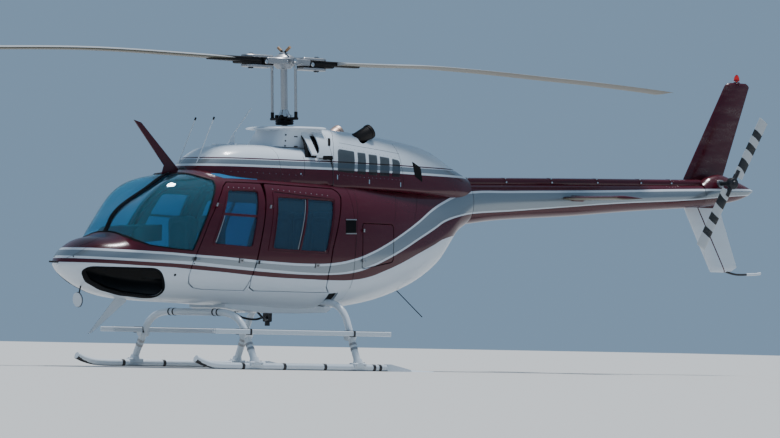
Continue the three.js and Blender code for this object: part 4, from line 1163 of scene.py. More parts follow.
def finishes(settings):
    """Makes each material once, under the name that the pieces call it by."""
    for make in (livery_group, cowl_group, weather_group, fin_group, blade_group):
        make()
    white, maroon, silver = (colour(settings, c) for c in ("white", "maroon", "silver"))
    trio = (white, maroon, silver)
    MATERIALS.update({
        "fuselage": painted("fuselage paint", trio, "fuselage livery", dust=0.03),
        "cowl": painted("cowl paint", trio, "cowl livery", dust=0.04),
        "maroon": painted("maroon paint", (maroon, maroon, silver), dust=0.02),
        "white": painted("white paint", trio, dust=0.2),
        # roof windows: an opaque plate, the glass's tint with a painted sky reflection
        "sky": painted("roof window tint", ((0.03, 0.16, 0.33, 1.0), maroon, silver), dust=0.05, gloss=0.1),
        # the meshes: the cowl livery darkened with painted shade
        "mesh": painted("mesh paint", MESH_SHADED_COLOURS, "cowl livery", dust=0.1, gloss=0.5, silver_metal=0.0),
        # undersides of the blades and stabilizers: painted shade
        "underside shade": painted("shaded underside paint", ((0.085, 0.075, 0.045, 1.0), maroon, silver), dust=0.15,
                         gloss=0.5),
        "orange": plastic("weathered orange paint", (0.42, 0.24, 0.12)),
        "chrome": metal("bright fittings", (0.72, 0.73, 0.75), 0.18, 1.0, dust=0.05),
        "lining": plastic("cabin lining", (0.095, 0.105, 0.12), 0.8),
        "seal": plastic("door seal", (0.004, 0.004, 0.005), 0.7, height=0.0003, dust=0.01, shine=0.15),
        "black": plastic("black plastic", (0.005, 0.005, 0.006), 0.5, height=0.0003, dust=0.02, shine=0.2),
        "steel": metal("ground steel", (0.46, 0.47, 0.49), 0.34, bump_height=0.0002, dust=0.08),
        "alloy": metal("grey alloy", (0.42, 0.43, 0.45), 0.4, 0.8),
        "dark": metal("dark steel", (0.05, 0.05, 0.055), 0.45, 0.7),
        "burnt": metal("heat stained steel", (0.014, 0.010, 0.009), 0.55, 0.4, dust=0.03),
        "tempered": metal("tempered steel", (0.46, 0.34, 0.29), 0.45, 0.8),
        "glass": glazing("blue tinted glass", colour(settings, "glass")),
        "door glass": glazing("door window glass", (0.14, 0.36, 0.56, 1.0)),
        "dark glass": glazing("dark blue glass", (0.006, 0.009, 0.013, 1.0), dust=0.03, ior=1.22),
        "red lens": glazing("red lens", (0.6, 0.02, 0.02, 1.0)),
        "seat": cloth("seat cloth", (0.10, 0.11, 0.13)),
        "fin": painted("fin paint", trio, "fin livery"),
        "tail": painted("tail fairing paint", trio, "fuselage livery"),
        "rotor blade": painted("rotor blade paint", ((0.42, 0.44, 0.45, 1.0), maroon, silver), gloss=0.4),
        "tail blade": painted("tail blade paint", ((0.55, 0.57, 0.58, 1.0), (0.02, 0.02, 0.02, 1.0), silver),
                              "tail blade bands"),
    })


# Fuselage

FRONT_HOLE_GAPS = np.array((7, 7, 7, 7, 7, 8, 12, 10, 7, 7, 12, 12, 8)) / 1000
REAR_HOLE_GAPS = np.array((7, 12, 14, 7, 13, 12, 12, 12, 13, 14, 14, 10)) / 1000
DOOR_PILLAR = ((0.560, 1.895), (0.660, 1.895), (0.905, 0.730), (0.805, 0.730))
DOOR_GUSSET = ((0.861, 0.7635), (0.842, 0.858), (0.8335, 0.858), (0.8225, 0.795), (0.744, 0.7625))


def cabin_ring(extra=0.0):
    """One opening for both doors of a side, grown by extra."""
    front = grown(FRONT_DOOR, FRONT_HOLE_GAPS + extra)
    rear = grown(REAR_DOOR, REAR_HOLE_GAPS + extra)
    return trace(hull, rounded(np.concatenate([front[:10], rear[3:], rear[:1], front[12:]]), 0.02))


def gear_slot():
    """The slot that the rear cross tube leaves the belly by, in x and arc position."""
    low = float(hull.arc(hull.angle_at_y(REAR_TUBE_X, 0.18, False)))
    high = float(hull.arc(hull.angle(REAR_TUBE_X, 0.765)))
    x0, x1 = REAR_TUBE_X - 0.090, REAR_TUBE_X + 0.036
    return divided(rounded([(x0, low), (x1, low), (x1, high), (x0, high)], 0.012), 0.02)


def windscreen_outline(inset=0.0):
    """The side pane's edge, then up the front edge and back along the centre post, in x and arc position."""
    side = divided(WINDSCREEN_SIDE, 0.02, closed=False)
    post = lambda x: hull.arc(hull.angle_at_y(x, POST_HALF))
    s = np.minimum(hull.arc(hull.angle(side[:, 0], side[:, 1])), post(side[:, 0]))
    edge = np.stack([side[:, 0], s], -1)
    x_front, x_rear = WINDSCREEN_SIDE[-1][0], WINDSCREEN_SIDE[0][0]
    front = divided([(x_front, s[-1]), (x_front, float(post(x_front)))], 0.02, closed=False)[1:]
    x = np.linspace(x_front, x_rear, 38)
    top = np.stack([x, post(x)], -1)[1:-1]
    ring = np.concatenate([edge, front, top])
    return grown(ring, -inset) if inset else ring


def centre_strip(x_rear, x_front, pitch=0.03):
    """The whole port half between two stations, from the belly's centreline to the roof's."""
    return divided([(x_rear, 0.0), (x_front, 0.0), (x_front, hull.girth), (x_rear, hull.girth)], pitch)


def build_cabin():
    """The hull from nose to baggage bay, the patches at the doors' lower corners, pillars and jambs."""
    pile = Pile()
    holes = [cabin_ring(), windscreen_outline(), laid(CHIN_WINDOW, WINDOW_CORNER), gear_slot()]
    patch(pile, hull, centre_strip(SPLIT_X, NOSE_X), holes, wall=WALL, step=0.028, whole=True,
          surfaces=(0, 0, 1))
    pile.mirror()
    disc(pile, (2.703, 0, 0.9975), AHEAD, 0.024, 0.0245, 0.006)
    gusset = Pile()
    overlay(gusset, hull, DOOR_GUSSET, 0.0, 0.004)
    # a black sheet behind the gear slot: painted shade inside the belly
    patch(gusset, hull, gear_slot(), inset=0.025, wall=0.003, step=0.03, surfaces=(1, 1, 1))
    gusset.mirror()
    gusset.finish("door_gussets", "airframe", "maroon_paint", ("fuselage", "black"))
    pile.finish("cabin_shell", "airframe", "maroon_paint", ("fuselage", "lining"),
                ("nose_shell", "cabin_tub", "cabin_roof"), weld=True)
    pillar = Pile()
    patch(pillar, hull, trace(hull, DOOR_PILLAR), inset=0.053, wall=0.04, step=0.03)
    patch(pillar, hull, cabin_ring(0.004), [cabin_ring(-0.024)], inset=0.0465, wall=0.004, step=0.05,
          chamfer=0.001)
    pillar.mirror()
    pillar.finish("door_jambs", "airframe", "maroon_paint", ("fuselage",))


# Lines and outlines of x and z
SEAMS = (
    ((2.193, 1.173), (2.519, 1.164), (2.690, 1.045)),
    ((2.557, 1.167), (2.383, 1.241), (2.271, 1.263)),
    ((-0.545, 1.820), (-0.516, 1.672), (-0.470, 1.345), (-0.448, 1.074), (-0.463, 0.814)),
    ((-1.154, 1.792), (-1.105, 1.692), (-1.039, 1.514)),
    ((-1.509, 1.816), (-1.356, 1.524)),
)
# x and y
ROOF_WINDOW = ((1.155, 0.342), (0.640, 0.415), (0.655, 0.452), (1.060, 0.437), (1.150, 0.387))
# x and z
STEP_POCKET = ((-0.331, 1.503), (-0.472, 1.505), (-0.463, 1.367), (-0.323, 1.363))
# x, z, radius
SKIN_DOTS = ((1.734, 0.904, 0.013), (2.655, 1.060, 0.008), (1.545, 1.020, 0.007))
# x and z
BELLY_PAN = ((0.900, 0.640), (0.900, 0.600), (0.850, 0.588), (0.360, 0.556), (-0.050, 0.560),
             (-0.380, 0.575), (-0.430, 0.606), (-0.430, 0.640))


def build_cabin_trim():
    """Seals, the windscreen's centre post, roof windows, skin seams, the step pocket and the belly pan."""
    dark = Pile()
    x = np.linspace(1.432, 2.186, 30)
    edge = np.stack([x, hull.arc(hull.angle_at_y(x, 0.031))], -1)
    crown = np.stack([x[::-1], np.full(30, hull.girth)], -1)
    patch(dark, hull, np.concatenate([edge, crown]), inset=-0.004, wall=0.006, chamfer=0.001, whole=True)
    patch(dark, hull, windscreen_outline(-0.005), [windscreen_outline(0.009)], inset=-0.0014, wall=0.003,
          step=0.05, chamfer=0.0008)
    band(dark, hull, CHIN_WINDOW, 0.018, -0.006, 0.002, 0.004, radius=WINDOW_CORNER)
    # the step pocket as a flat black plate: painted shade of the recess
    overlay(dark, hull, rounded(STEP_POCKET, 0.01), 0.001)
    for line in SEAMS:
        ribbon(dark, hull, line, size("seam"), 0.0006)
    for x, z, radius in SKIN_DOTS:
        p, n = on_side(hull, x, z)
        disc(dark, p - n * 0.001, n, radius, 0.003, 0.001)
    dark.mirror()
    dark.finish("cabin_seals", "airframe", "black_metal", ("seal",), weld=True)
    bright = Pile()
    for a, b in (STEP_POCKET[:2], STEP_POCKET[:1:-1]):
        ribbon(bright, hull, (a, b), 0.012, 0.009)
    bright.mirror()
    bright.finish("step_pocket_lips", "airframe", "grey_metal", ("alloy",))
    # the roof windows are opaque plates whose blue is the tint with a painted sky reflection
    roof = Pile()
    places = np.array(ROOF_WINDOW)
    ring = np.stack([places[:, 0], hull.arc(hull.angle_at_y(places[:, 0], places[:, 1]))], -1)
    patch(roof, hull, divided(rounded(ring, 0.01), 0.03), inset=-0.002, wall=0.004, chamfer=0.001)
    roof.mirror()
    roof.finish("roof_windows", "airframe", "glass", ("sky",))
    belly = Pile()
    prism(belly, BELLY_PAN, -0.300, 0.300, 0.008)
    belly.finish("belly_pan", "airframe", "white_paint", ("white",))
    hook = Pile()
    block(hook, (0.105, -0.030, 0.470), (0.175, 0.030, 0.600), 0.006)
    tube(hook, [(0.140, 0.0, 0.486), (0.140, 0.0, 0.430)], 0.026, 20)
    for side in (1, -1):
        tube(hook, spline([(0.420, side * 0.20, 0.562), (0.330, side * 0.17, 0.510),
                           (0.220, side * 0.09, 0.492),
                           (0.160, side * 0.020, 0.520)], 20), 0.011, 10)
    hook.finish("cargo_hook", "airframe", "black_metal", ("dark",))


def build_aft():
    """The hull over the baggage bay, with the door's opening, its seat and its leaf on the port side only."""
    pile = Pile()
    strip = centre_strip(BOOM_X + 0.001, SPLIT_X - 0.001)
    hole = laid(BAGGAGE_DOOR, BAGGAGE_CORNER, 0.008)
    patch(pile, hull, strip, [hole], wall=AFT_WALL, whole=True,
          surfaces=(0, 0, 1))
    patch(pile, hull, laid(BAGGAGE_DOOR, BAGGAGE_CORNER, 0.014), [laid(BAGGAGE_DOOR, 0.03, -0.020)],
          inset=0.031, wall=0.003, step=0.05, chamfer=0.001)
    far = Pile()
    patch(far, hull, strip, wall=AFT_WALL, whole=True, surfaces=(0, 0, 1))
    pile.take(far, flip=True)
    pile.finish("aft_fuselage_skin", "airframe", "maroon_paint", ("fuselage", "lining"),
                ("aft_fuselage",), weld=True)
    door = Pile()
    patch(door, hull, laid(BAGGAGE_DOOR, BAGGAGE_CORNER), wall=AFT_WALL)
    knuckles(door, "baggage_door", (1, 1))
    door.finish("baggage_door_leaf", "baggage_door_body", "maroon_paint", ("fuselage", "alloy"),
                ("baggage_door",))


def hinge_point(name, z):
    (x, y, z0), lean, _ = HINGES[name]
    return np.array([x + lean * (z - z0), y, z])


def knuckles(pile, name, barrels):
    """The hinge barrels on a door's leading edge, each with its finish's number, and their short arms."""
    for z, surface in zip(HINGES[name][2], barrels):
        low, middle, high = (hinge_point(name, z + d) for d in (-0.016, 0.0, 0.016))
        tube(pile, [low, high], 0.009, 14, surface)
        reach = 0.055 if name == "front_door" else 0.03
        block(pile, middle + (-reach, 0.0, -0.011), middle + (0.002, 0.007, 0.011), 0.002)


REAR_FRAME = ((0.545, 1.768), (-0.238, 1.712), (-0.098, 1.142), (0.668, 1.160))
DOORS = (
    # name, outline, window, raised frames (outline, outer, inner), window bar, rivets, bright edge, handle
    ("front_door", FRONT_DOOR, FRONT_WINDOW, ((FRONT_WINDOW, 0.022, 0.003),),
     ((1.235, 1.517), (0.775, 1.503)),
     ((1.072, 1.779), (0.760, 1.779)), ((1.184, 1.500), (1.298, 1.236)), (0.985, 1.062)),
    ("rear_door", REAR_DOOR, REAR_WINDOW, ((REAR_FRAME, 0.0, -0.012), (REAR_WINDOW, 0.012, 0.003)),
     ((0.121, 1.708), (0.2625, 1.172)), ((0.530, 1.778), (-0.150, 1.737)), ((0.150, 1.690), (0.286, 1.190)),
     (0.034, 1.035)),
)


def build_doors():
    for stem, outline, window, raised, crossbar, rivets, edge, handle in DOORS:
        for side, sign in SIDES:
            pile = Pile()
            hole = laid(window, WINDOW_CORNER)
            patch(pile, hull, laid(outline, 0.018), [hole], wall=DOOR_WALL, surfaces=(0, 0, 1))
            for frame_line, outer, inner in raised:
                band(pile, hull, frame_line, outer, inner, 0.006, 0.008)
            bar(pile, hull, *crossbar, 0.011, 0.001, 0.012)
            bar(pile, hull, *edge, 0.0045, 0.0035, 0.0032, 2)
            # the rivet heads take the bright alloy finish: painted highlights on heads that are painted like
            # the door
            stud_line(pile, hull, rivets, 0.075, size("rivet"), 0.003, 2)
            p, n = on_side(hull, *handle)
            plate(pile, p, n, AHEAD, (0.048, 0.042, 0.005), 2)
            plate(pile, p + (0.031, 0, 0), n, AHEAD, (0.010, 0.046, 0.004), 3)
            disc(pile, p + n * 0.004, n, 0.009, 0.004, 0.001, surface=3)
            knuckles(pile, stem, (3, 2))
            pile.finish(f"{stem}_{side}_leaf", f"{stem}_{side}_body", "maroon_paint",
                        ("fuselage", "lining", "alloy", "dark"), (f"{stem}_{side}",),
                        side=sign)
            glass = Pile()
            patch(glass, hull, laid(window, WINDOW_CORNER - 0.001, -0.001), inset=PANE_DEPTH, wall=PANE,
                  chamfer=0.001)
            glass.finish(f"{stem}_{side}_pane", f"{stem}_{side}_body", "glass", ("door glass",),
                         (f"{stem}_window_{side}",), side=sign)


def build_glass():
    for side, sign in SIDES:
        for stem, outline in (("windscreen", windscreen_outline(0.001)),
                              ("chin_window", laid(CHIN_WINDOW, WINDOW_CORNER - 0.001, -0.001))):
            pile = Pile()
            patch(pile, hull, outline, inset=PANE_DEPTH, wall=PANE, chamfer=0.001, step=0.025)
            tint = "glass" if stem == "windscreen" else "dark glass"
            pile.finish(f"{stem}_{side}_pane", "airframe", "glass", (tint,), (f"{stem}_{side}",), side=sign)


# Cowlings

COWL_SPLIT_FRONT = 0.360
COWL_SPLIT_REAR = -0.300
COWL_NOSE_X = 1.249
COWL_TAIL_X = -2.376
SPLIT_GAP = 0.001
# height, front x of the wall under the roof plate
RAISED_FRONT = ((2.200, 0.322), (2.235, 0.296), (2.378, 0.186), (2.405, 0.165))
PLATE = (
    # station, top, bottom, half width, middle, upper and lower exponent of the thin roof plate
    (0.336, 2.399, 2.391, 0.060, 2.395, 2.0, 2.0),
    (0.326, 2.408, 2.384, 0.150, 2.396, 2.0, 2.0),
    (0.290, 2.418, 2.380, 0.232, 2.398, 2.2, 2.0),
    (0.200, 2.426, 2.380, 0.277, 2.400, 2.6, 2.0),
    (0.000, 2.433, 2.384, 0.300, 2.404, 2.8, 2.0),
    (-0.298, 2.436, 2.388, 0.330, 2.408, 2.8, 2.0),
)


def cowling(name, form, x_rear, x_front, holes=(), extras=None):
    """One hollow cowling seated on the hull, both halves, with the solid things that stand on it."""
    pile = Pile()
    patch(pile, form, seated(form, hull, x_rear, x_front, sink=0.003), holes, wall=COWL_WALL, chamfer=0.0007,
          whole=True, surfaces=(0, 1, 1))
    pile.mirror()
    if extras:
        extras(pile)
    pile.finish(f"{name}_shell", "airframe", "white_paint", ("cowl", "lining"), (name,), weld=True)


def form_tube(pile, form, x_rear, x_front, rows, sides=64, surface=0):
    """The whole form between two stations as a closed surface of x and angle."""
    x = np.linspace(x_front, x_rear, rows)
    a = np.linspace(0, 2 * np.pi, sides, endpoint=False)
    skin = form.point(x[:, None], a[None]).reshape(-1, 3)
    ends = np.stack([skin[:sides].mean(axis=0), skin[-sides:].mean(axis=0)])
    first = np.arange(sides)
    last = first + (rows - 1) * sides
    faces = grid_faces(rows, sides, closed=True)
    caps = np.concatenate([fan(rows * sides, first), fan(rows * sides + 1, last[::-1])])
    normals = np.zeros((len(skin) + 2, 3))
    normals[:-2] = form.normal(skin)
    pile.add(np.concatenate([skin, ends]), (faces[:, ::-1][:, [1, 2, 3, 0]], surface, normals),
             (caps, surface, None))


MESHES = (
    # front and rear x at the top, heights of the top and of the foot, front then rear, radius of a top corner
    (-0.390, -0.604, 2.217, 2.196, 1.988, 1.974, 0.045),
    (-0.644, -0.750, 2.190, 2.184, 1.972, 1.968, 0.0),
    (-0.790, -0.905, 2.177, 2.169, 1.968, 1.963, 0.0),
    (-0.941, -1.073, 2.161, 2.149, 1.963, 1.961, 0.0),
    (-1.114, -1.226, 2.144, 2.128, 1.961, 1.961, -0.045),
)
MESH_LEAN = 0.034
MESH_PITCH = 0.0115
COWL_SEAMS = (
    ((-0.468, 2.402), (-0.437, 2.378), (-0.380, 2.311), (-0.339, 2.210), (-0.325, 2.146), (-0.313, 2.089),
     (-0.305, 2.001)),
    ((-1.230, 2.302), (-1.243, 1.870)),
    ((-0.443, 2.278), (-0.686, 2.252), (-1.247, 2.200)),
)
FAIRING_SEAMS = (
    ((0.038, 2.126), (0.039, 2.090), (0.059, 1.988), (0.062, 1.926)),
    ((-0.3005, 2.120), (-0.3005, 1.880)),
)
# x and z outlines of black plates for openings in the cowl: painted shade inside them
COWL_DARKS = (
    ((-0.355, 2.322), (-0.321, 2.322), (-0.277, 2.238), (-0.311, 2.238)),
    ((-0.185, 2.137), (-0.316, 2.142), (-0.307, 2.100), (-0.178, 2.098)),
    ((-1.414, 2.128), (-1.530, 2.070), (-1.534, 1.920), (-1.418, 1.978)),
)
LATCHES = ((-0.352, 1.929), (-0.765, 1.897), (-1.199, 1.884))
FASTENERS = (
    # form, line of x and z, pitch
    (engine_cowl, ((-0.420, 2.236), (-0.620, 2.216), (-1.220, 2.152)), 0.055),
    (engine_cowl, ((-0.380, 1.955), (-0.700, 1.940), (-1.190, 1.930)), 0.06),
    (front_cowl, ((1.020, 1.940), (0.500, 1.936), (0.090, 1.930)), 0.085),
)
# x and z of the slots in the raised wall, drawn as black plates: painted shade inside them
WALL_SLOTS = ((0.034, 2.322), (0.030, 2.223))
WALL_DOTS = ((0.158, 2.335), (0.162, 2.275), (0.166, 2.225))
# x and y
EXHAUST_HOLE = ((-0.740, 0.200), (-0.754, 0.245), (-0.736, 0.325), (-0.766, 0.340), (-0.826, 0.315),
                (-0.882, 0.280), (-1.011, 0.198), (-0.980, 0.140), (-0.800, 0.130))


def fairing_fittings(pile):
    """The light's dome, the low box and the aerial's foot on the forward fairing."""
    pad(pile, (0.676, -0.075, 2.160), (0.848, 0.075, 2.226), 0.05)
    block(pile, (0.466, -0.055, 2.190), (0.595, 0.055, 2.233), 0.008, corner=0.03)
    prism(pile, ((0.715, 2.180), (0.602, 2.180), (0.602, 2.305), (0.622, 2.332)), -0.006, 0.006, 0.002)


def build_cowls():
    cowling("forward_fairing", front_cowl, COWL_SPLIT_FRONT + SPLIT_GAP, COWL_NOSE_X, extras=fairing_fittings)
    cowling("transmission_fairing", front_cowl, COWL_SPLIT_REAR + SPLIT_GAP, COWL_SPLIT_FRONT - SPLIT_GAP,
            extras=raised_roof)
    x, y = np.array(EXHAUST_HOLE).T
    hole = rounded(np.stack([x, engine_cowl.arc(engine_cowl.angle_at_y(x, y))], -1), 0.03)
    cowling("engine_cowl", engine_cowl, COWL_TAIL_X, COWL_SPLIT_REAR - SPLIT_GAP, [hole])
    side_inlets()
    exhausts()
    build_cowl_trim()


AERIALS = (
    # finish, ends, radius
    ("white", ((0.628, 0, 2.315), (0.404, 0, 2.592)), 0.006),
    ("white", ((1.196, 0.150, 1.985), (0.984, 0.150, 2.460)), 0.0055),
    ("white", ((1.196, -0.150, 1.985), (0.984, -0.150, 2.460)), 0.0055),
    ("seal", ((0.987, 0.150, 2.4525), (0.975, 0.150, 2.480)), 0.009),
    ("seal", ((0.987, -0.150, 2.4525), (0.975, -0.150, 2.480)), 0.009),
    ("seal", ((-1.455, 0, 0.869), (-1.870, 0, 0.554)), 0.0045),
)


def build_cowl_trim():
    """Seams, slots, meshes with their ribs, latches and fastener heads of the cowlings, and the aerials."""
    dark = Pile()
    for line in COWL_SEAMS:
        ribbon(dark, engine_cowl, line, 0.0035, 0.0006, pitch=0.02)
    for line in FAIRING_SEAMS:
        ribbon(dark, front_cowl, line, 0.0045, 0.0006)
    # black plates over the cowl's openings: painted shade
    for outline in COWL_DARKS:
        overlay(dark, engine_cowl, rounded(outline, 0.014), 0.0018)
    for x, z in WALL_DOTS:
        disc(dark, (x, 0.258, z), PORT, 0.008, 0.006, 0.001)
    for x, z in WALL_SLOTS:
        plate(dark, np.array((x, 0.260, z)), PORT, AHEAD, (0.042, 0.010, 0.006))
    dark.mirror()
    dark.finish("cowl_seams", "airframe", "black_metal", ("seal",))
    mesh = Pile()
    for front, rear, top_front, top_rear, foot_front, foot_rear, corner in MESHES:
        top = np.array([(front, top_front), (rear, top_rear)])
        low = np.array([(front + MESH_LEAN, foot_front), (rear + MESH_LEAN, foot_rear)])
        overlay(mesh, engine_cowl, mesh_outline(top, low, corner), 0.0018, 0.003)
        count = int((top_front - foot_front) / MESH_PITCH)
        for k in range(1, count):
            line = top + (low - top) * k / count
            reach = 0.8 * max(0.0, abs(corner) + (line[:, 1] - top[:, 1]).min())
            ends = np.array([line[0] - (0.006, 0), line[1] + (0.006, 0)])
            if corner > 0:
                ends[0, 0] -= reach
            elif corner < 0:
                ends[1, 0] += reach
            ribbon(mesh, engine_cowl, ends, 0.004, 0.0036, pitch=0.04)
    mesh.mirror()
    mesh.finish("cowl_meshes", "airframe", "grey_metal", ("mesh",))
    bright = Pile()
    for x, z in LATCHES:
        p, n = on_side(engine_cowl, x, z)
        plate(bright, p, n, UP, (0.046, 0.013, 0.004))
    p, n = on_side(front_cowl, 0.107, 1.945)
    plate(bright, p, n, AHEAD, (0.016, 0.016, 0.003))
    for form, line, pitch in FASTENERS:
        stud_line(bright, form, line, pitch)
    bright.mirror()
    bright.finish("cowl_fittings", "airframe", "steel", ("chrome",))
    rods("aerial", "airframe", AERIALS)


def mesh_outline(top, low, corner):
    """A mesh outline with one top corner rounded off: the front one for a positive radius, none for zero."""
    ring = [top[0], top[1], low[1], low[0]]
    small = rounded(ring, 0.010)
    if not corner:
        return small
    index = 0 if corner > 0 else 1
    parts = np.array_split(small, 4)
    parts[index] = np.array_split(rounded(ring, abs(corner)), 4)[index]
    return np.concatenate(parts)


def raised_roof(pile):
    """The thin roof plate on its narrow wall: rounded slices whose front edge leans back going up."""
    z = np.linspace(2.215, 2.400, 12)
    front = np.interp(z, [r[0] for r in RAISED_FRONT], [r[1] for r in RAISED_FRONT])
    corner = 0.10
    rear = PLATE[-1][0]
    t = np.linspace(0, np.pi / 2, 9)
    rows = []
    for inset in (0.0, 0.010):
        half = 0.256 + 0.008 * (z - 2.2) / 0.2 - inset
        x_side = front - inset
        ones = np.ones_like(z)
        ring = [np.stack([rear * ones, half, z], -1)]
        for k in t:
            ring.append(np.stack([x_side - corner + corner * np.sin(k), half - corner + corner * np.cos(k),
                                  z], -1))
        other = [p * (1.0, -1.0, 1.0) for p in ring[::-1]]
        rows.append(np.stack(ring + other, 1))
    outer, inner = rows
    height, width = outer.shape[:2]
    points = np.concatenate([outer.reshape(-1, 3), inner.reshape(-1, 3)])
    faces = grid_faces(height, width)
    shift = height * width
    number = np.arange(shift).reshape(height, width)
    edge = np.concatenate([number[0], number[1:, -1], number[-1, -2::-1], number[-2:0:-1, 0]])
    ahead = np.roll(edge, -1)
    rim = np.stack([edge, ahead, ahead + shift, edge + shift], -1)
    pile.add(points, (faces[:, ::-1], 0, None), (faces + shift, 1, None), (rim, 0, None))
    form_tube(pile, Form(PLATE), PLATE[-1][0], PLATE[0][0], 40, 72)


# x and z
HOOD = ((-0.299, 2.120), (-0.299, 2.425), (-0.115, 2.425), (-0.144, 2.384), (-0.170, 2.360), (-0.164, 2.295),
        (-0.161, 2.217), (-0.150, 2.175), (-0.118, 2.150), (-0.105, 2.120))
# x and z of the black sheet in the intake: painted shade and shadow
INLET_SHADE = ((-0.297, 2.130), (-0.297, 2.400), (-0.040, 2.400), (0.015, 2.130))


def side_inlets():
    """The hood ahead of the engine with its curved front edge, the dark intake inside it, and the strut."""
    pile = Pile()
    for outline, inset, surfaces in ((HOOD, 0.0, (0, 0, 1)), (INLET_SHADE, 0.032, (1, 1, 1))):
        ring = divided(outline, 0.02)
        s = engine_cowl.arc(engine_cowl.angle(ring[:, 0], ring[:, 1]))
        patch(pile, engine_cowl, np.stack([ring[:, 0], s], -1), inset=inset, wall=0.012, step=0.02,
              chamfer=0.001, surfaces=surfaces)
    top, low = np.array((-0.074, 0.236, 2.396)), np.array((-0.082, 0.424, 2.140))
    across = np.array((1.0, 0.0, 0.0))
    out = np.cross(unit(low - top), across)
    rows = []
    for centre, half in ((top, 0.040), (low, 0.036)):
        rows.append([centre + across * a * half + out * b * 0.009 for a,
                     b in ((-1, -1), (1, -1), (1, 1), (-1, 1))])
    rings(pile, np.array(rows))
    pile.mirror()
    pile.finish("side_inlets", "airframe", "white_paint", ("cowl", "black"))


EXHAUST_LINE = ((-0.700, 0.180, 2.285), (-0.775, 0.220, 2.328), (-0.850, 0.244, 2.372),
                (-0.933, 0.252, 2.418))
EXHAUST_RADII = (0.062, 0.074)


def exhausts():
    """Both stacks: a widening bent pipe with a rim. The starboard one's end is tempered."""
    for side, sign in SIDES:
        pile = Pile()
        path = spline(EXHAUST_LINE, 18)
        radius = np.linspace(*EXHAUST_RADII, 18)
        tube(pile, path, radius, 40, 0, bore=radius - 0.004, lining=2)
        tube(pile, path[-3:-1], radius[-3] + 0.004, 40, 0 if sign > 0 else 3)
        if sign < 0:
            tube(pile, path[10:], radius[10:] + 0.0015, 40, 3, bore=radius[10:] - 0.003, lining=2)
        tube(pile, path[:3] - (0.01, 0, 0.01), 0.056, 32, 1)
        pile.finish(f"exhaust_{side}_stack", "airframe", "steel",
                    ("burnt", "seal", "black", "tempered"), (f"exhaust_{side}",), side=sign)


# Tail

def wing_section(thickness, count=36):
    """A closed symmetric wing section of chord 1, as places along the chord and half thicknesses.

    With b from the nose: 5 t (0.2969 sqrt(b) - 0.126 b - 0.3516 b^2 + 0.2843 b^3 - 0.1015 b^4).
    """
    a = np.linspace(0, 2 * np.pi, count, endpoint=False)
    c = (1 + np.cos(a)) / 2
    back = 1 - c
    half = 5 * thickness * (0.2969 * np.sqrt(back) - 0.126 * back - 0.3516 * back**2 + 0.2843 * back**3
                            - 0.1015 * back**4)
    return c, np.sign(np.sin(a) + 1e-12) * np.maximum(half, 0.0008)


def tip(distance, length):
    """Distance to the tip, from 1 to 0.02 over the last length, and the fullness of the section there."""
    end = np.clip(distance / length, 0.02, 1)
    return end, np.sqrt(end * (2 - end))


# height, x of the fin's edges
FIN_FRONT = ((1.111, -6.027), (1.790, -5.623), (2.093, -5.598), (3.146, -6.195), (3.171, -6.262))
FIN_REAR = ((1.111, -6.310), (1.170, -6.416), (1.792, -6.145), (2.155, -6.186), (3.140, -6.553),
            (3.171, -6.500))
FIN_Y = -0.145
FIN_HALF = 0.027
# x and z
TAIL_SKID = ((-6.215, 1.128), (-6.400, 1.094), (-6.600, 1.098), (-6.766, 1.112))
TAIL_SKID_TIP = ((-6.560, 1.0965), (-6.700, 1.103), (-6.772, 1.113))
# radius and height
BEACON_FOOT = ((0, 0), (0.040, 0), (0.040, 0.018), (0.034, 0.024), (0.034, 0.030), (0, 0.030))
BEACON_X = -6.364


def build_fin():
    pile = Pile()
    z = np.concatenate([[1.112, 1.118, 1.135], np.linspace(1.17, 3.11, 60), [3.130, 3.150, 3.163, 3.170]])
    front = np.interp(z, *zip(*FIN_FRONT))
    rear = np.interp(z, *zip(*FIN_REAR))
    end = np.minimum(1, np.minimum(z - 1.108, 3.174 - z) / 0.03)
    thick = FIN_HALF * np.sqrt(np.clip(end * (2 - end), 0.02, 1))
    c, t = wing_section(0.10)
    t = t / np.abs(t).max()
    x = rear[:, None] + (front - rear)[:, None] * c[None]
    y = FIN_Y + thick[:, None] * t[None]
    rings(pile, np.stack([x, y, np.broadcast_to(z[:, None], x.shape)], -1), outward=-1)
    pile.finish("fin_skin", "airframe", "white_paint", ("fin",), ("vertical_fin",), sharp=50)
    tail_skid = Pile()
    tube(tail_skid, spline([(x, FIN_Y, z) for x, z in TAIL_SKID], 30), 0.012, 14)
    tube(tail_skid, spline([(x, FIN_Y, z) for x, z in TAIL_SKID_TIP], 12), 0.0145, 14, 1)
    tail_skid.finish("tail_skid", "airframe", "white_paint", ("dark", "white"))
    beacon = Pile()
    lathe(beacon, BEACON_FOOT, (BEACON_X, FIN_Y, 3.150), UP)
    t = np.linspace(0, 1, 8)
    turn = 1.45
    dome = [(0, 0)]
    dome += [(0.032 * math.cos(k * turn), 0.012 + 0.070 * math.sin(k * turn) / math.sin(turn)) for k in t]
    lathe(beacon, dome + [(0, 0.0825)], (BEACON_X, FIN_Y, 3.180), UP, surface=1)
    beacon.finish("beacon", "airframe", "white_paint", ("maroon", "red lens"))


# stations
COVER_BANDS = (-2.400, -2.920, -3.550, -4.190, -4.810, -5.250)


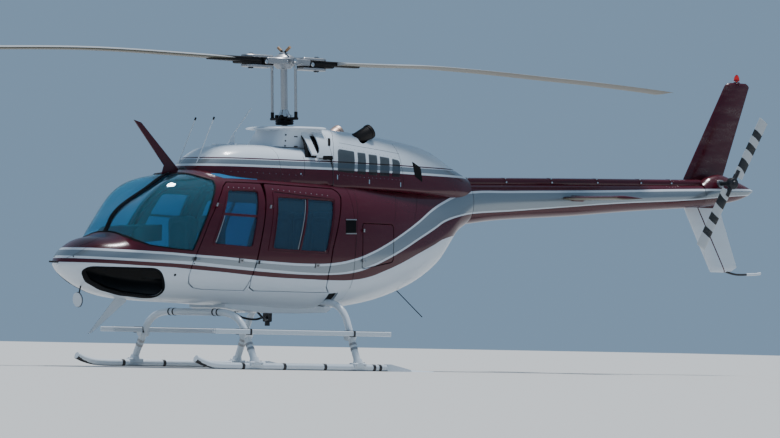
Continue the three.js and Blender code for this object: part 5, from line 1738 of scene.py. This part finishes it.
def build_boom():
    pile = Pile()
    form_tube(pile, boom, POD_X, BOOM_X - 0.003, 80, 64)
    pile.finish("tail_boom_skin", "airframe", "white_paint", ("fuselage",), ("tail_boom",))
    cover = Pile()
    patch(cover, shaft_cover, seated(shaft_cover, boom, POD_X + 0.002, BOOM_X - 0.004, pitch=0.06,
                                     sink=0.002),
          wall=0.004, step=0.03, chamfer=0.0012, whole=True)
    cover.mirror()
    cover.finish("driveshaft_cover_skin", "airframe", "maroon_paint", ("maroon",), ("driveshaft_cover",),
                 weld=True)
    trim = Pile()
    for x in COVER_BANDS:
        patch(trim, shaft_cover, seated(shaft_cover, boom, x - 0.016, x + 0.016, pitch=0.016, sink=0.001),
              inset=-0.0016, wall=0.003, step=0.03, chamfer=0.0006, whole=True)
        for rise in (0.022, 0.060):
            foot_angle = foot(shaft_cover, boom, [x])
            z = float(shaft_cover.point(np.array([x]), foot_angle)[0, 2]) + rise
            p, n = on_side(shaft_cover, x, z)
            disc(trim, p, n, 0.011, 0.007, 0.002, 12, 1)
    trim.mirror()
    trim.finish("driveshaft_cover_bands", "airframe", "maroon_paint", ("maroon", "chrome"),
                weld=True)


def build_pod():
    pod = Pile()
    form_tube(pod, tail_pod, TAIL_END_X, POD_X - 0.003, 60, 56)
    tube(pod, [(TAIL_HUB[0], 0.05, TAIL_HUB[2]), (TAIL_HUB[0], 0.1255, TAIL_HUB[2])], 0.042, 28, 1)
    pod.finish("tail_gearbox_fairing", "airframe", "white_paint", ("tail", "alloy"),
               ("tail_gearbox",))


STABILIZER_REAR_X = -4.023
STABILIZER_Z = 1.831
STABILIZER_CHORD = 0.400
STABILIZER_TIP_Y = 0.988


def build_stabilizers():
    for side, sign in SIDES:
        wing = Pile()
        y = np.concatenate([np.linspace(0.115, 0.955, 24), [0.970, 0.980, 0.985]])
        end, full = tip(STABILIZER_TIP_Y - y, 0.03)
        chord = STABILIZER_CHORD - 0.03 * (1 - end)
        c, t = wing_section(0.11)
        x = STABILIZER_REAR_X + 0.02 * (1 - end)[:, None] + chord[:, None] * c[None]
        z = STABILIZER_Z + (STABILIZER_CHORD * full)[:, None] * t[None]
        # the lower half of each section takes the painted shade of the underside
        under = np.arange(36) >= 18
        rings(wing, np.stack([x, np.broadcast_to(y[:, None], x.shape), z], -1), under, outward=-1)
        block(wing, (-3.900, 0.100, 1.800), (-3.740, 0.190, 1.862), 0.008, corner=0.02)
        block(wing, (-3.800, 0.952, 1.822), (-3.720, 0.984, 1.840), 0.004, 2, corner=0.01)
        wing.finish(f"stabilizer_{side}_skin", "airframe", "white_paint",
                    ("maroon", "underside shade", "white"), (f"stabilizer_{side}",), side=sign, sharp=50)


# Rotors

ROTOR_RADIUS = 5.080
# x and z along each blade
FRONT_LINE = ((0.620, 3.086), (1.250, 3.092), (1.910, 3.096), (2.440, 3.090), (3.000, 3.068), (3.460, 3.044),
              (4.100, 3.014), (5.080, 2.958))
REAR_LINE = ((-0.620, 3.084), (-1.250, 3.098), (-1.780, 3.112), (-2.550, 3.101), (-3.340, 3.075),
             (-4.140, 3.048), (-4.960, 3.007), (-5.080, 2.998))
TAIL_PHASE = math.radians(59.6)


def build_blades():
    for name, line, lead in (("main_blade_front", FRONT_LINE, 1), ("main_blade_rear", REAR_LINE, -1)):
        pile = Pile()
        count = 60
        path = spline([(x, 0.0, z) for x, z in line], count)
        _, full = tip(ROTOR_RADIUS - np.abs(path[:, 0]), 0.03)
        c, t = wing_section(0.12, 44)
        y = lead * (c[None] - 0.75) * size("blade_chord") * np.ones((count, 1))
        z = path[:, 2:] + t[None] * size("blade_chord") * full[:, None]
        x = np.broadcast_to(path[:, :1], y.shape)
        # the lower half of the section takes the painted shade of the underside
        rings(pile, np.stack([x, y, z], -1), np.arange(44) >= 22, outward=-1)
        root = path[0, 0]
        flip = np.sign(root)
        cuff = [(root - flip * 0.280, -0.078), (root, -0.088), (root + flip * 0.330, -0.050),
                (root + flip * 0.330, 0.050), (root, 0.088), (root - flip * 0.280, 0.078)]
        prism(pile, rounded(cuff, 0.02), 3.058, 3.106, 0.008, axis=2, surface=2)
        block(pile, (flip * 0.270, -0.074, 3.036), (flip * 0.590, 0.074, 3.104), 0.010, 2)
        pile.finish(f"{name}_skin", "main_rotor", "silver_paint",
                    ("rotor blade", "underside shade", "black"), (name,), sharp=50)


# x and y
YOKE_HALF = ((-0.285, -0.092), (-0.160, -0.100), (-0.100, -0.135), (0.100, -0.135), (0.160, -0.100),
             (0.285, -0.092))
GRIP_HALF = ((0.190, -0.086), (0.455, -0.086), (0.512, -0.045))


# radius and height along the axis, from the hub's middle or from the foot of the tail rotor's hub
MAST_PROFILE = ((0, -0.8045), (0.034, -0.8045), (0.034, -0.62), (0.034, -0.062), (0, -0.062))
SWASH_PROFILE = ((0, -0.622), (0.080, -0.622), (0.095, -0.612), (0.088, -0.600), (0.095, -0.586),
                 (0.086, -0.572), (0.060, -0.560), (0.058, -0.535), (0, -0.535))
COLLAR_PROFILE = ((0, -0.536), (0.060, -0.536), (0.060, -0.520), (0.050, -0.500), (0.040, -0.470),
                  (0, -0.470))
HUB_PROFILE = ((0, -0.059), (0.070, -0.059), (0.085, -0.045), (0.108, -0.015), (0.110, 0.045),
               (0.098, 0.064), (0.070, 0.076), (0.050, 0.088), (0.044, 0.102), (0.020, 0.108), (0, 0.108))
TAIL_HUB_PROFILE = ((0, 0), (0.024, 0), (0.024, 0.13), (0.058, 0.136), (0.062, 0.142), (0.062, 0.196),
                    (0.056, 0.202), (0.030, 0.206), (0.026, 0.214), (0.024, 0.219), (0, 0.219))
LINK_Y = 0.190


def build_mast():
    mast = Pile()
    lathe(mast, MAST_PROFILE, HUB, MAST_AXIS, 40)
    lathe(mast, SWASH_PROFILE, HUB, MAST_AXIS, 36, 1)
    lathe(mast, COLLAR_PROFILE, HUB, MAST_AXIS, 36, 2)
    block(mast, (-0.050, -0.204, 2.494), (0.010, 0.204, 2.520), 0.006, 1, corner=0.02)
    for side in (1, -1):
        disc(mast, (-0.030, side * 0.075, 2.518), UP, 0.030, 0.030, 0.006, 24, 2)
        disc(mast, (0.045, side * 0.040, 2.510), UP, 0.018, 0.034, 0.005, 18, 1)
        tube(mast, [(-0.019, side * LINK_Y, 2.530), (0.0, side * LINK_Y, 3.042)], 0.0145, 16)
        tube(mast, [(-0.020, side * LINK_Y, 2.498), (-0.018, side * LINK_Y, 2.575)], 0.0175, 16, 1)
        tube(mast, [(-0.001, side * LINK_Y, 3.000), (0.0, side * LINK_Y, 3.045)], 0.0175, 16, 2)
    mast.finish("rotor_mast_shaft", "main_rotor", "steel", ("steel", "black", "chrome"),
                ("rotor_mast",))


def build_hub():
    hub = Pile()
    yoke = list(YOKE_HALF) + [(x, -y) for x, y in YOKE_HALF[::-1]]
    prism(hub, rounded(yoke, 0.030), 3.046, 3.114, 0.010, axis=2)
    lathe(hub, HUB_PROFILE, HUB, MAST_AXIS, 40)
    block(hub, (-0.022, -0.206, 3.044), (0.022, 0.206, 3.074), 0.005, 0, corner=0.015)
    tube(hub, [(0, -0.178, 3.082), (0, 0.178, 3.082)], 0.036, 26)
    tube(hub, [(0, -0.188, 3.082), (0, 0.188, 3.082)], 0.020, 20, 2)
    for side in (1, -1):
        tube(hub, [(0.012 * side, -0.050 * side, 3.125), (0.004 * side, 0.045 * side, 3.189)], 0.011, 16, 1)
        tube(hub, [(0.004 * side, 0.045 * side, 3.189), (0, 0.096 * side, 3.224)], [0.0145, 0.015], 16, 3)
        plan = [(side * x, y) for x, y in GRIP_HALF] + [(side * x, -y) for x, y in GRIP_HALF[::-1]]
        plan = rounded(plan, 0.025)
        prism(hub, plan, 3.104, 3.132, 0.006, axis=2)
        prism(hub, plan, 3.006, 3.034, 0.006, axis=2)
        block(hub, (side * 0.19, -0.080, 3.030), (side * 0.33, 0.080, 3.108), 0.006, 1)
        bolt = side * 0.418
        tube(hub, [(bolt, 0, 2.986), (bolt, 0, 3.152)], 0.018, 18, 2)
        tube(hub, [(bolt, 0, 2.996), (bolt, 0, 3.142)], 0.030, 6, 1)
        for way in (1, -1):
            place_y = way * 0.080
            disc(hub, (side * 0.295, place_y, 3.062), (0, way, 0), 0.030, 0.014, 0.003, 24, 1)
            disc(hub, (side * 0.295, place_y, 3.062), (0, way, 0), 0.021, 0.024, 0.004, 18, 2)
            disc(hub, (side * 0.060, way * 0.130, 3.075), (0, way, 0), 0.014, 0.012, 0.003, 6, 2)
    hub.finish("main_rotor_yoke", "main_rotor", "grey_metal",
               ("alloy", "black", "chrome", "orange"), ("main_rotor_hub",))


def build_tail_rotor():
    span = np.array([-math.cos(TAIL_PHASE), 0.0, math.sin(TAIL_PHASE)])
    chord_way = np.array([math.sin(TAIL_PHASE), 0.0, math.cos(TAIL_PHASE)])
    for name, sign in (("tail_blade_a", 1), ("tail_blade_b", -1)):
        pile = Pile()
        radius = np.concatenate([np.linspace(0.105, 0.80, 24), [0.812, 0.820, TAIL_RADIUS]])
        _, full = tip(TAIL_RADIUS + 0.003 - radius, 0.02)
        c, t = wing_section(0.10, 32)
        along = sign * (c[None] - 0.75) * size("tail_chord") * np.ones((len(radius), 1))
        thick = t[None] * size("tail_chord") * full[:, None]
        points = (TAIL_HUB + span * sign * radius[:, None, None] + chord_way * along[..., None]
                  + np.array([0.0, 1.0, 0.0]) * thick[..., None])
        rings(pile, points, outward=1)
        pile.finish(f"{name}_skin", "tail_rotor", "silver_paint", ("tail blade",), (name,), sharp=50)
    hub = Pile()
    x, _, z = TAIL_HUB
    lathe(hub, TAIL_HUB_PROFILE, (x, 0.126, z), PORT, 36)
    tube(hub, [TAIL_HUB - span * 0.16, TAIL_HUB + span * 0.16], 0.026, 20)
    hub.finish("tail_rotor_head", "tail_rotor", "black_metal", ("dark",), ("tail_rotor_hub",))


# Landing gear

FRONT_TUBE_X = 1.052
REAR_TUBE_X = -0.243
SKID_Y = 0.979
STEP_PLAN = ((-0.749, 0.804), (1.443, 0.804), (1.512, 0.954), (-0.690, 0.954))
STEP_RIBS = np.linspace(-0.600, 1.360, 25)
SKID_Z = 0.034
# y and z of half a cross tube
FRONT_LEG = ((0, 0.553), (0.360, 0.553), (0.480, 0.550), (0.600, 0.530), (0.680, 0.500), (0.736, 0.465),
             (0.792, 0.408), (0.848, 0.315), (0.906, 0.215), (0.950, 0.136), (0.979, 0.082))
REAR_LEG = ((0, 0.680), (0.450, 0.677), (0.590, 0.658), (0.690, 0.613), (0.765, 0.538), (0.812, 0.452),
            (0.852, 0.360), (0.895, 0.260), (0.940, 0.160), (0.979, 0.082))
# x, rise above the straight tube
SKID_LINE = ((-0.620, 0.0), (0.0, 0.0), (0.600, 0.0), (1.400, 0.0), (1.560, 0.008), (1.690, 0.036),
             (1.770, 0.066))
# x, half width, height
SKID_TAIL = ((-0.598, 0.037, 0.070), (-0.640, 0.040, 0.072), (-0.870, 0.080, 0.020), (-1.170, 0.076, 0.007))
SKID_CLAMPS = (1.205, 0.696, 0.188, -0.435, -0.511)


def build_gear():
    for name, x, leg in (("front_cross_tube", FRONT_TUBE_X, FRONT_LEG),
                         ("rear_cross_tube", REAR_TUBE_X, REAR_LEG)):
        pile = Pile()
        route = [(x, -y, z) for y, z in leg[:0:-1]] + [(x, y, z) for y, z in leg]
        path = spline(route, 90)
        tube(pile, path, size("gear_tube"), 28)
        for y in (-0.395, -0.325, 0.325, 0.395) if x > 0 else ():
            tube(pile, [(x, y - 0.008, leg[1][1]), (x, y + 0.008, leg[1][1])], size("gear_tube") + 0.004, 26,
                 2)
        for k in (7, 9, 80, 82):
            tube(pile, path[k:k + 2], size("gear_tube") + 0.0035, 26, 1)
        pile.finish(f"{name}_bar", "airframe", "white_paint", ("white", "alloy", "black"),
                    (name,))
    for side, sign in SIDES:
        build_skid(side, sign)
        build_step(side, sign)


def build_skid(side, sign):
    pile = Pile()
    line = spline([(x, SKID_Y, SKID_Z + rise) for x, rise in SKID_LINE], 110)
    line[:, 2] = np.maximum(line[:, 2], SKID_Z)
    tube(pile, line, size("skid_tube"), 24)
    ends = [[(x, SKID_Y + a * half, b * height) for a, b in ((1, 0), (-1, 0), (-0.8, 1), (0.8, 1))]
            for x, half, height in SKID_TAIL]
    rings(pile, np.array(ends))
    toe = spline([(x, SKID_Y, SKID_Z + rise - 0.0035) for x, rise in SKID_LINE[3:]], 24)
    tube(pile, toe[6:], np.linspace(0.0300, 0.0330, 18), 24, 1)
    for x in SKID_CLAMPS:
        tube(pile, [(x - 0.018, SKID_Y, SKID_Z + 0.0005), (x + 0.018, SKID_Y, SKID_Z + 0.0005)], 0.0345, 24,
             1)
    for x in (FRONT_TUBE_X, REAR_TUBE_X):
        block(pile, (x - 0.075, SKID_Y - 0.045, 0.030), (x + 0.075, SKID_Y + 0.045, 0.080), 0.008, 0)
        tube(pile, [(x, SKID_Y, 0.070), (x, SKID_Y - 0.007, 0.118)], [0.052, 0.040], 24)
        for step in (-0.055, 0.055):
            disc(pile, (x + step, SKID_Y + 0.028, 0.079), UP, 0.010, 0.010, 0.002, 6, 2)
            disc(pile, (x + step, SKID_Y + 0.044, 0.055), PORT, 0.009, 0.008, 0.002, 6, 2)
    pile.finish(f"skid_{side}_bar", "airframe", "white_paint",
                ("white", "dark", "chrome"), (f"skid_{side}",), side=sign)


def build_step(side, sign):
    pile = Pile()
    prism(pile, rounded(STEP_PLAN, 0.020), 0.344, 0.392, 0.006, axis=2)
    for x in (FRONT_TUBE_X, REAR_TUBE_X):
        tube(pile, [(x - 0.050, 0.845, 0.340), (x + 0.050, 0.845, 0.340)], 0.041, 20)
        block(pile, (x + 0.018, 0.800, 0.336), (x + 0.040, 0.958, 0.398), 0.004, 1)
    for x in STEP_RIBS:
        block(pile, (x - 0.020, 0.830, 0.391), (x + 0.020, 0.930, 0.3945), 0.001, 2)
    pile.finish(f"step_{side}_board", "airframe", "white_paint",
                ("white", "dark", "seal"), (f"step_{side}",), side=sign)


# Nose fittings

# x and z
UPPER_CUTTER = ((1.290, 1.950), (1.330, 1.990), (1.760, 2.396), (1.850, 2.419), (1.470, 1.985),
                (1.500, 1.895))
LOWER_CUTTER = ((2.040, 0.690), (2.040, 0.658), (2.350, 0.316), (2.300, 0.330), (1.900, 0.640),
                (1.900, 0.680))


NOSE_RODS = (
    # finish, ends, radius: the lamp's stalk, back and face, and the probe at the nose tip
    ("dark", ((2.475, 0, 0.655), (2.440, 0, 0.805)), 0.008),
    ("dark", ((2.476, 0, 0.6453), (2.470, 0, 0.6458)), 0.075),
    ("white", ((2.486, 0, 0.6444), (2.475, 0, 0.6454)), 0.070),
    ("dark", ((2.690, 0, 1.003), (2.824, 0, 1.007)), 0.009),
)


def build_cutters():
    for name, outline, paint, slot in (("upper_cutter", UPPER_CUTTER, "maroon", "maroon_paint"),
                                       ("lower_cutter", LOWER_CUTTER, "white", "silver_paint")):
        pile = Pile()
        prism(pile, outline, -0.007, 0.007, 0.002)
        pile.finish(f"{name}_blade", "airframe", slot, (paint,), (name,))
    rods("nose_rod", "airframe", NOSE_RODS, 24)


# Cabin inside

PAD_POWER = 0.28
PAD_BEND = 1.4


def pad(pile, low, high, crown, surface=0, cells=18):
    """A crowned cushion: a superellipsoid box whose faces swell by crown between the corners."""
    low, high = np.array(low), np.array(high)
    centre, half = (low + high) / 2, (high - low) / 2
    u = np.linspace(-np.pi / 2, np.pi / 2, cells)
    v = np.linspace(0, 2 * np.pi, 2 * cells, endpoint=False)
    signed = lambda w: np.sign(w) * np.abs(w) ** PAD_POWER
    x = signed(np.cos(u))[:, None] * signed(np.cos(v))[None]
    y = signed(np.cos(u))[:, None] * signed(np.sin(v))[None]
    z = signed(np.sin(u))[:, None] * np.ones_like(v)[None]
    swell = 1 - crown + crown * np.cos(x * PAD_BEND) * np.cos(y * PAD_BEND)
    points = centre + np.stack([x, y, z * swell], -1) * half
    rings(pile, points[1:-1], surface)


def build_cabin_inside():
    for side, sign in SIDES:
        pile = Pile()
        pad(pile, (1.085, 0.065, 0.960), (1.495, 0.415, 1.078), 0.25)
        block(pile, (1.090, 0.070, 0.8215), (1.480, 0.410, 0.965), 0.01, 1, corner=0.03)
        pad(pile, (0.990, 0.068, 1.085), (1.100, 0.412, 1.515), 0.1)
        seat = pile.finish(f"front_seat_{side}_cushions", "airframe", "seat_fabric",
                           ("seat", "black"), (f"front_seat_{side}",), side=sign)
    pile = Pile()
    for y in (-0.305, 0.0, 0.305):
        pad(pile, (-0.300, y - 0.150, 0.975), (0.168, y + 0.150, 1.088), 0.25)
        pad(pile, (-0.372, y - 0.146, 1.095), (-0.262, y + 0.146, 1.595), 0.1)
    block(pile, (-0.320, -0.455, 0.8215), (0.155, 0.455, 0.980), 0.01, 1)
    bench = pile.finish("rear_bench_cushions", "airframe", "seat_fabric", ("seat", "black"),
                        ("rear_bench",))
    for node, finish in (("cabin_floor", "lining"), ("instrument_panel", "black"), ("engine_block", "dark"),
                         ("transmission", "alloy")):
        mesh = frame["nodes"][node].data
        mesh.materials.clear()
        mesh.materials.append(MATERIALS[finish])


# Stage

CAMERA_AT = (30.863, 39.337, 0.379)
CAMERA_AZIMUTH = 140.626
CAMERA_ELEVATION = -1.313
CAMERA_ROLL = 1.165
CAMERA_LENS = 230.4
SENSOR_WIDTH = 36.0
CLIP_END = 500
FLOOR_HALF = 60.0
FLOOR_COLOUR = (0.50, 0.50, 0.49, 1)
SKY_COLOUR = (0.46, 0.70, 1.0, 1)
SKY_STRENGTH = 0.44
SUN_STRENGTH = 4.6
SUN_WIDTH = math.radians(12)
SUN_FROM = (-0.22, -0.10, 1.0)


def build_camera():
    """The camera fitted to the photograph: its place, the way it looks and its roll."""
    azimuth, elevation, roll = (math.radians(v) for v in (CAMERA_AZIMUTH, CAMERA_ELEVATION, CAMERA_ROLL))
    back = Vector((math.sin(azimuth) * math.cos(elevation), -math.cos(azimuth) * math.cos(elevation),
                   math.sin(elevation)))
    right = Vector((0, 0, 1)).cross(back).normalized()
    up = back.cross(right)
    across = right * math.cos(roll) + up * math.sin(roll)
    upward = up * math.cos(roll) - right * math.sin(roll)
    camera = bpy.data.objects.new("camera", bpy.data.cameras.new("camera"))
    camera.data.lens = CAMERA_LENS
    camera.data.sensor_width = SENSOR_WIDTH
    camera.data.clip_end = CLIP_END
    turn = Matrix((across, upward, back)).transposed().to_4x4()
    camera.matrix_world = Matrix.Translation(Vector(CAMERA_AT) + Vector((MAST_X, 0, 0))) @ turn
    bpy.context.scene.collection.objects.link(camera)
    bpy.context.scene.camera = camera


def build_stage():
    """The camera, a plain pale floor, a soft sky and one broad sun."""
    build_camera()
    mesh = bpy.data.meshes.new("floor")
    corners = [(x * FLOOR_HALF, y * FLOOR_HALF, 0) for x, y in ((-1, -1), (1, -1), (1, 1), (-1, 1))]
    mesh.from_pydata(corners, [], [(0, 1, 2, 3)])
    floor = bpy.data.objects.new("floor", mesh)
    material, tree, shader = new_material("studio floor")
    settle(tree, shader, {"Base Color": FLOOR_COLOUR, "Roughness": 0.8})
    mesh.materials.append(material)
    bpy.context.scene.collection.objects.link(floor)
    world = bpy.data.worlds.new("studio")
    bpy.context.scene.world = world
    world.use_nodes = True
    sky = world.node_tree.nodes["Background"]
    settle(world.node_tree, sky, {"Color": SKY_COLOUR, "Strength": SKY_STRENGTH})
    sun = bpy.data.objects.new("sun", bpy.data.lights.new("sun", "SUN"))
    sun.data.energy = SUN_STRENGTH
    sun.data.angle = SUN_WIDTH
    sun.rotation_euler = Vector(SUN_FROM).to_track_quat("Z", "Y").to_euler()
    bpy.context.scene.collection.objects.link(sun)


# Add-on

class HelicopterSizes(bpy.types.PropertyGroup):
    """Sizes of the finer parts, in metres."""
    blade_chord: FloatProperty(name="Blade chord", description="Width of a main rotor blade", default=0.330,
                               min=0.1, max=0.5, unit="LENGTH")
    tail_chord: FloatProperty(name="Tail blade chord", description="Width of a tail rotor blade",
                              default=0.133, min=0.05, max=0.2, unit="LENGTH")
    gear_tube: FloatProperty(name="Gear tube radius", description="Radius of the cross tubes", default=0.034,
                             min=0.02, max=0.05, unit="LENGTH")
    skid_tube: FloatProperty(name="Skid tube radius", description="Radius of the skid tubes", default=0.0335,
                             min=0.02, max=0.05, unit="LENGTH")
    rivet: FloatProperty(name="Rivet radius", description="Radius of the rivet heads on the doors",
                         default=0.006, min=0.002, max=0.01, unit="LENGTH")
    seam: FloatProperty(name="Seam width", description="Width of the skin seams", default=0.004, min=0.001,
                        max=0.01, unit="LENGTH")


class HelicopterColours(bpy.types.PropertyGroup):
    """Colours of the paint and glass."""
    # the white paint, darkened and tinted blue with painted shade and sky light
    white: FloatVectorProperty(name="White", description="Upper cowls, lines and belly", subtype="COLOR",
                               default=(0.66, 0.72, 0.78), min=0, max=1)
    maroon: FloatVectorProperty(name="Maroon", description="Upper fuselage, stripe and fin", subtype="COLOR",
                                default=(0.062, 0.002, 0.010), min=0, max=1)
    silver: FloatVectorProperty(name="Silver", description="Band along the fuselage", subtype="COLOR",
                                default=(0.27, 0.31, 0.34), min=0, max=1)
    glass: FloatVectorProperty(name="Glass tint", description="Windows", subtype="COLOR",
                               default=(0.22, 0.62, 0.80), min=0, max=1)


def piece_operator(idname, label, words, *makers):
    """An operator that runs the functions of one group of pieces."""
    def execute(self, context):
        for maker in makers:
            maker()
        return {"FINISHED"}

    return type(f"HELICOPTER_OT_{idname}", (bpy.types.Operator,), {
        "bl_idname": f"helicopter.{idname}", "bl_label": label, "__doc__": words, "execute": execute})


OPERATORS = (
    piece_operator("stage", "Stage", "Adds the camera, the floor and the light", build_stage),
    piece_operator("fuselage", "Fuselage", "Builds the cabin shell and the aft fuselage", build_cabin,
                   build_cabin_trim, build_aft),
    piece_operator("doors", "Doors", "Builds the four cabin doors and their windows", build_doors),
    piece_operator("glass", "Glass", "Builds the windscreens and chin windows", build_glass),
    piece_operator("cowls", "Cowlings", "Builds the fairings, inlets and exhausts", build_cowls),
    piece_operator("tail", "Tail", "Builds the boom, pod, stabilizers and fin", build_boom, build_pod,
                   build_stabilizers, build_fin),
    piece_operator("rotors", "Rotors", "Builds both rotors", build_blades, build_mast, build_hub,
                   build_tail_rotor),
    piece_operator("gear", "Landing gear", "Builds the cross tubes, skids and steps", build_gear),
    piece_operator("nose", "Nose fittings", "Builds the wire cutters", build_cutters),
    piece_operator("inside", "Cabin inside", "Builds the seats and finishes the floor and panel",
                   build_cabin_inside),
)


class HELICOPTER_PT_panel(bpy.types.Panel):
    """Lists the steps that build the helicopter."""
    bl_idname = "HELICOPTER_PT_panel"
    bl_label = "Helicopter"
    bl_space_type = "VIEW_3D"
    bl_region_type = "UI"
    bl_category = "Helicopter"

    def draw(self, context):
        for settings in (context.scene.helicopter_colours, context.scene.helicopter_sizes):
            for name in settings.__annotations__:
                self.layout.prop(settings, name)
        for operator in OPERATORS:
            self.layout.operator(operator.bl_idname)


CLASSES = (HelicopterSizes, HelicopterColours, *OPERATORS, HELICOPTER_PT_panel)


def register():
    for cls in CLASSES:
        bpy.utils.register_class(cls)
    bpy.types.Scene.helicopter_sizes = PointerProperty(type=HelicopterSizes)
    bpy.types.Scene.helicopter_colours = PointerProperty(type=HelicopterColours)


def unregister():
    del bpy.types.Scene.helicopter_sizes
    del bpy.types.Scene.helicopter_colours
    for cls in reversed(CLASSES):
        bpy.utils.unregister_class(cls)


def main():
    register()
    finishes(bpy.context.scene.helicopter_colours)
    for operator in OPERATORS:
        group, name = operator.bl_idname.split(".")
        getattr(getattr(bpy.ops, group), name)()


if __name__ == "__main__":
    main()
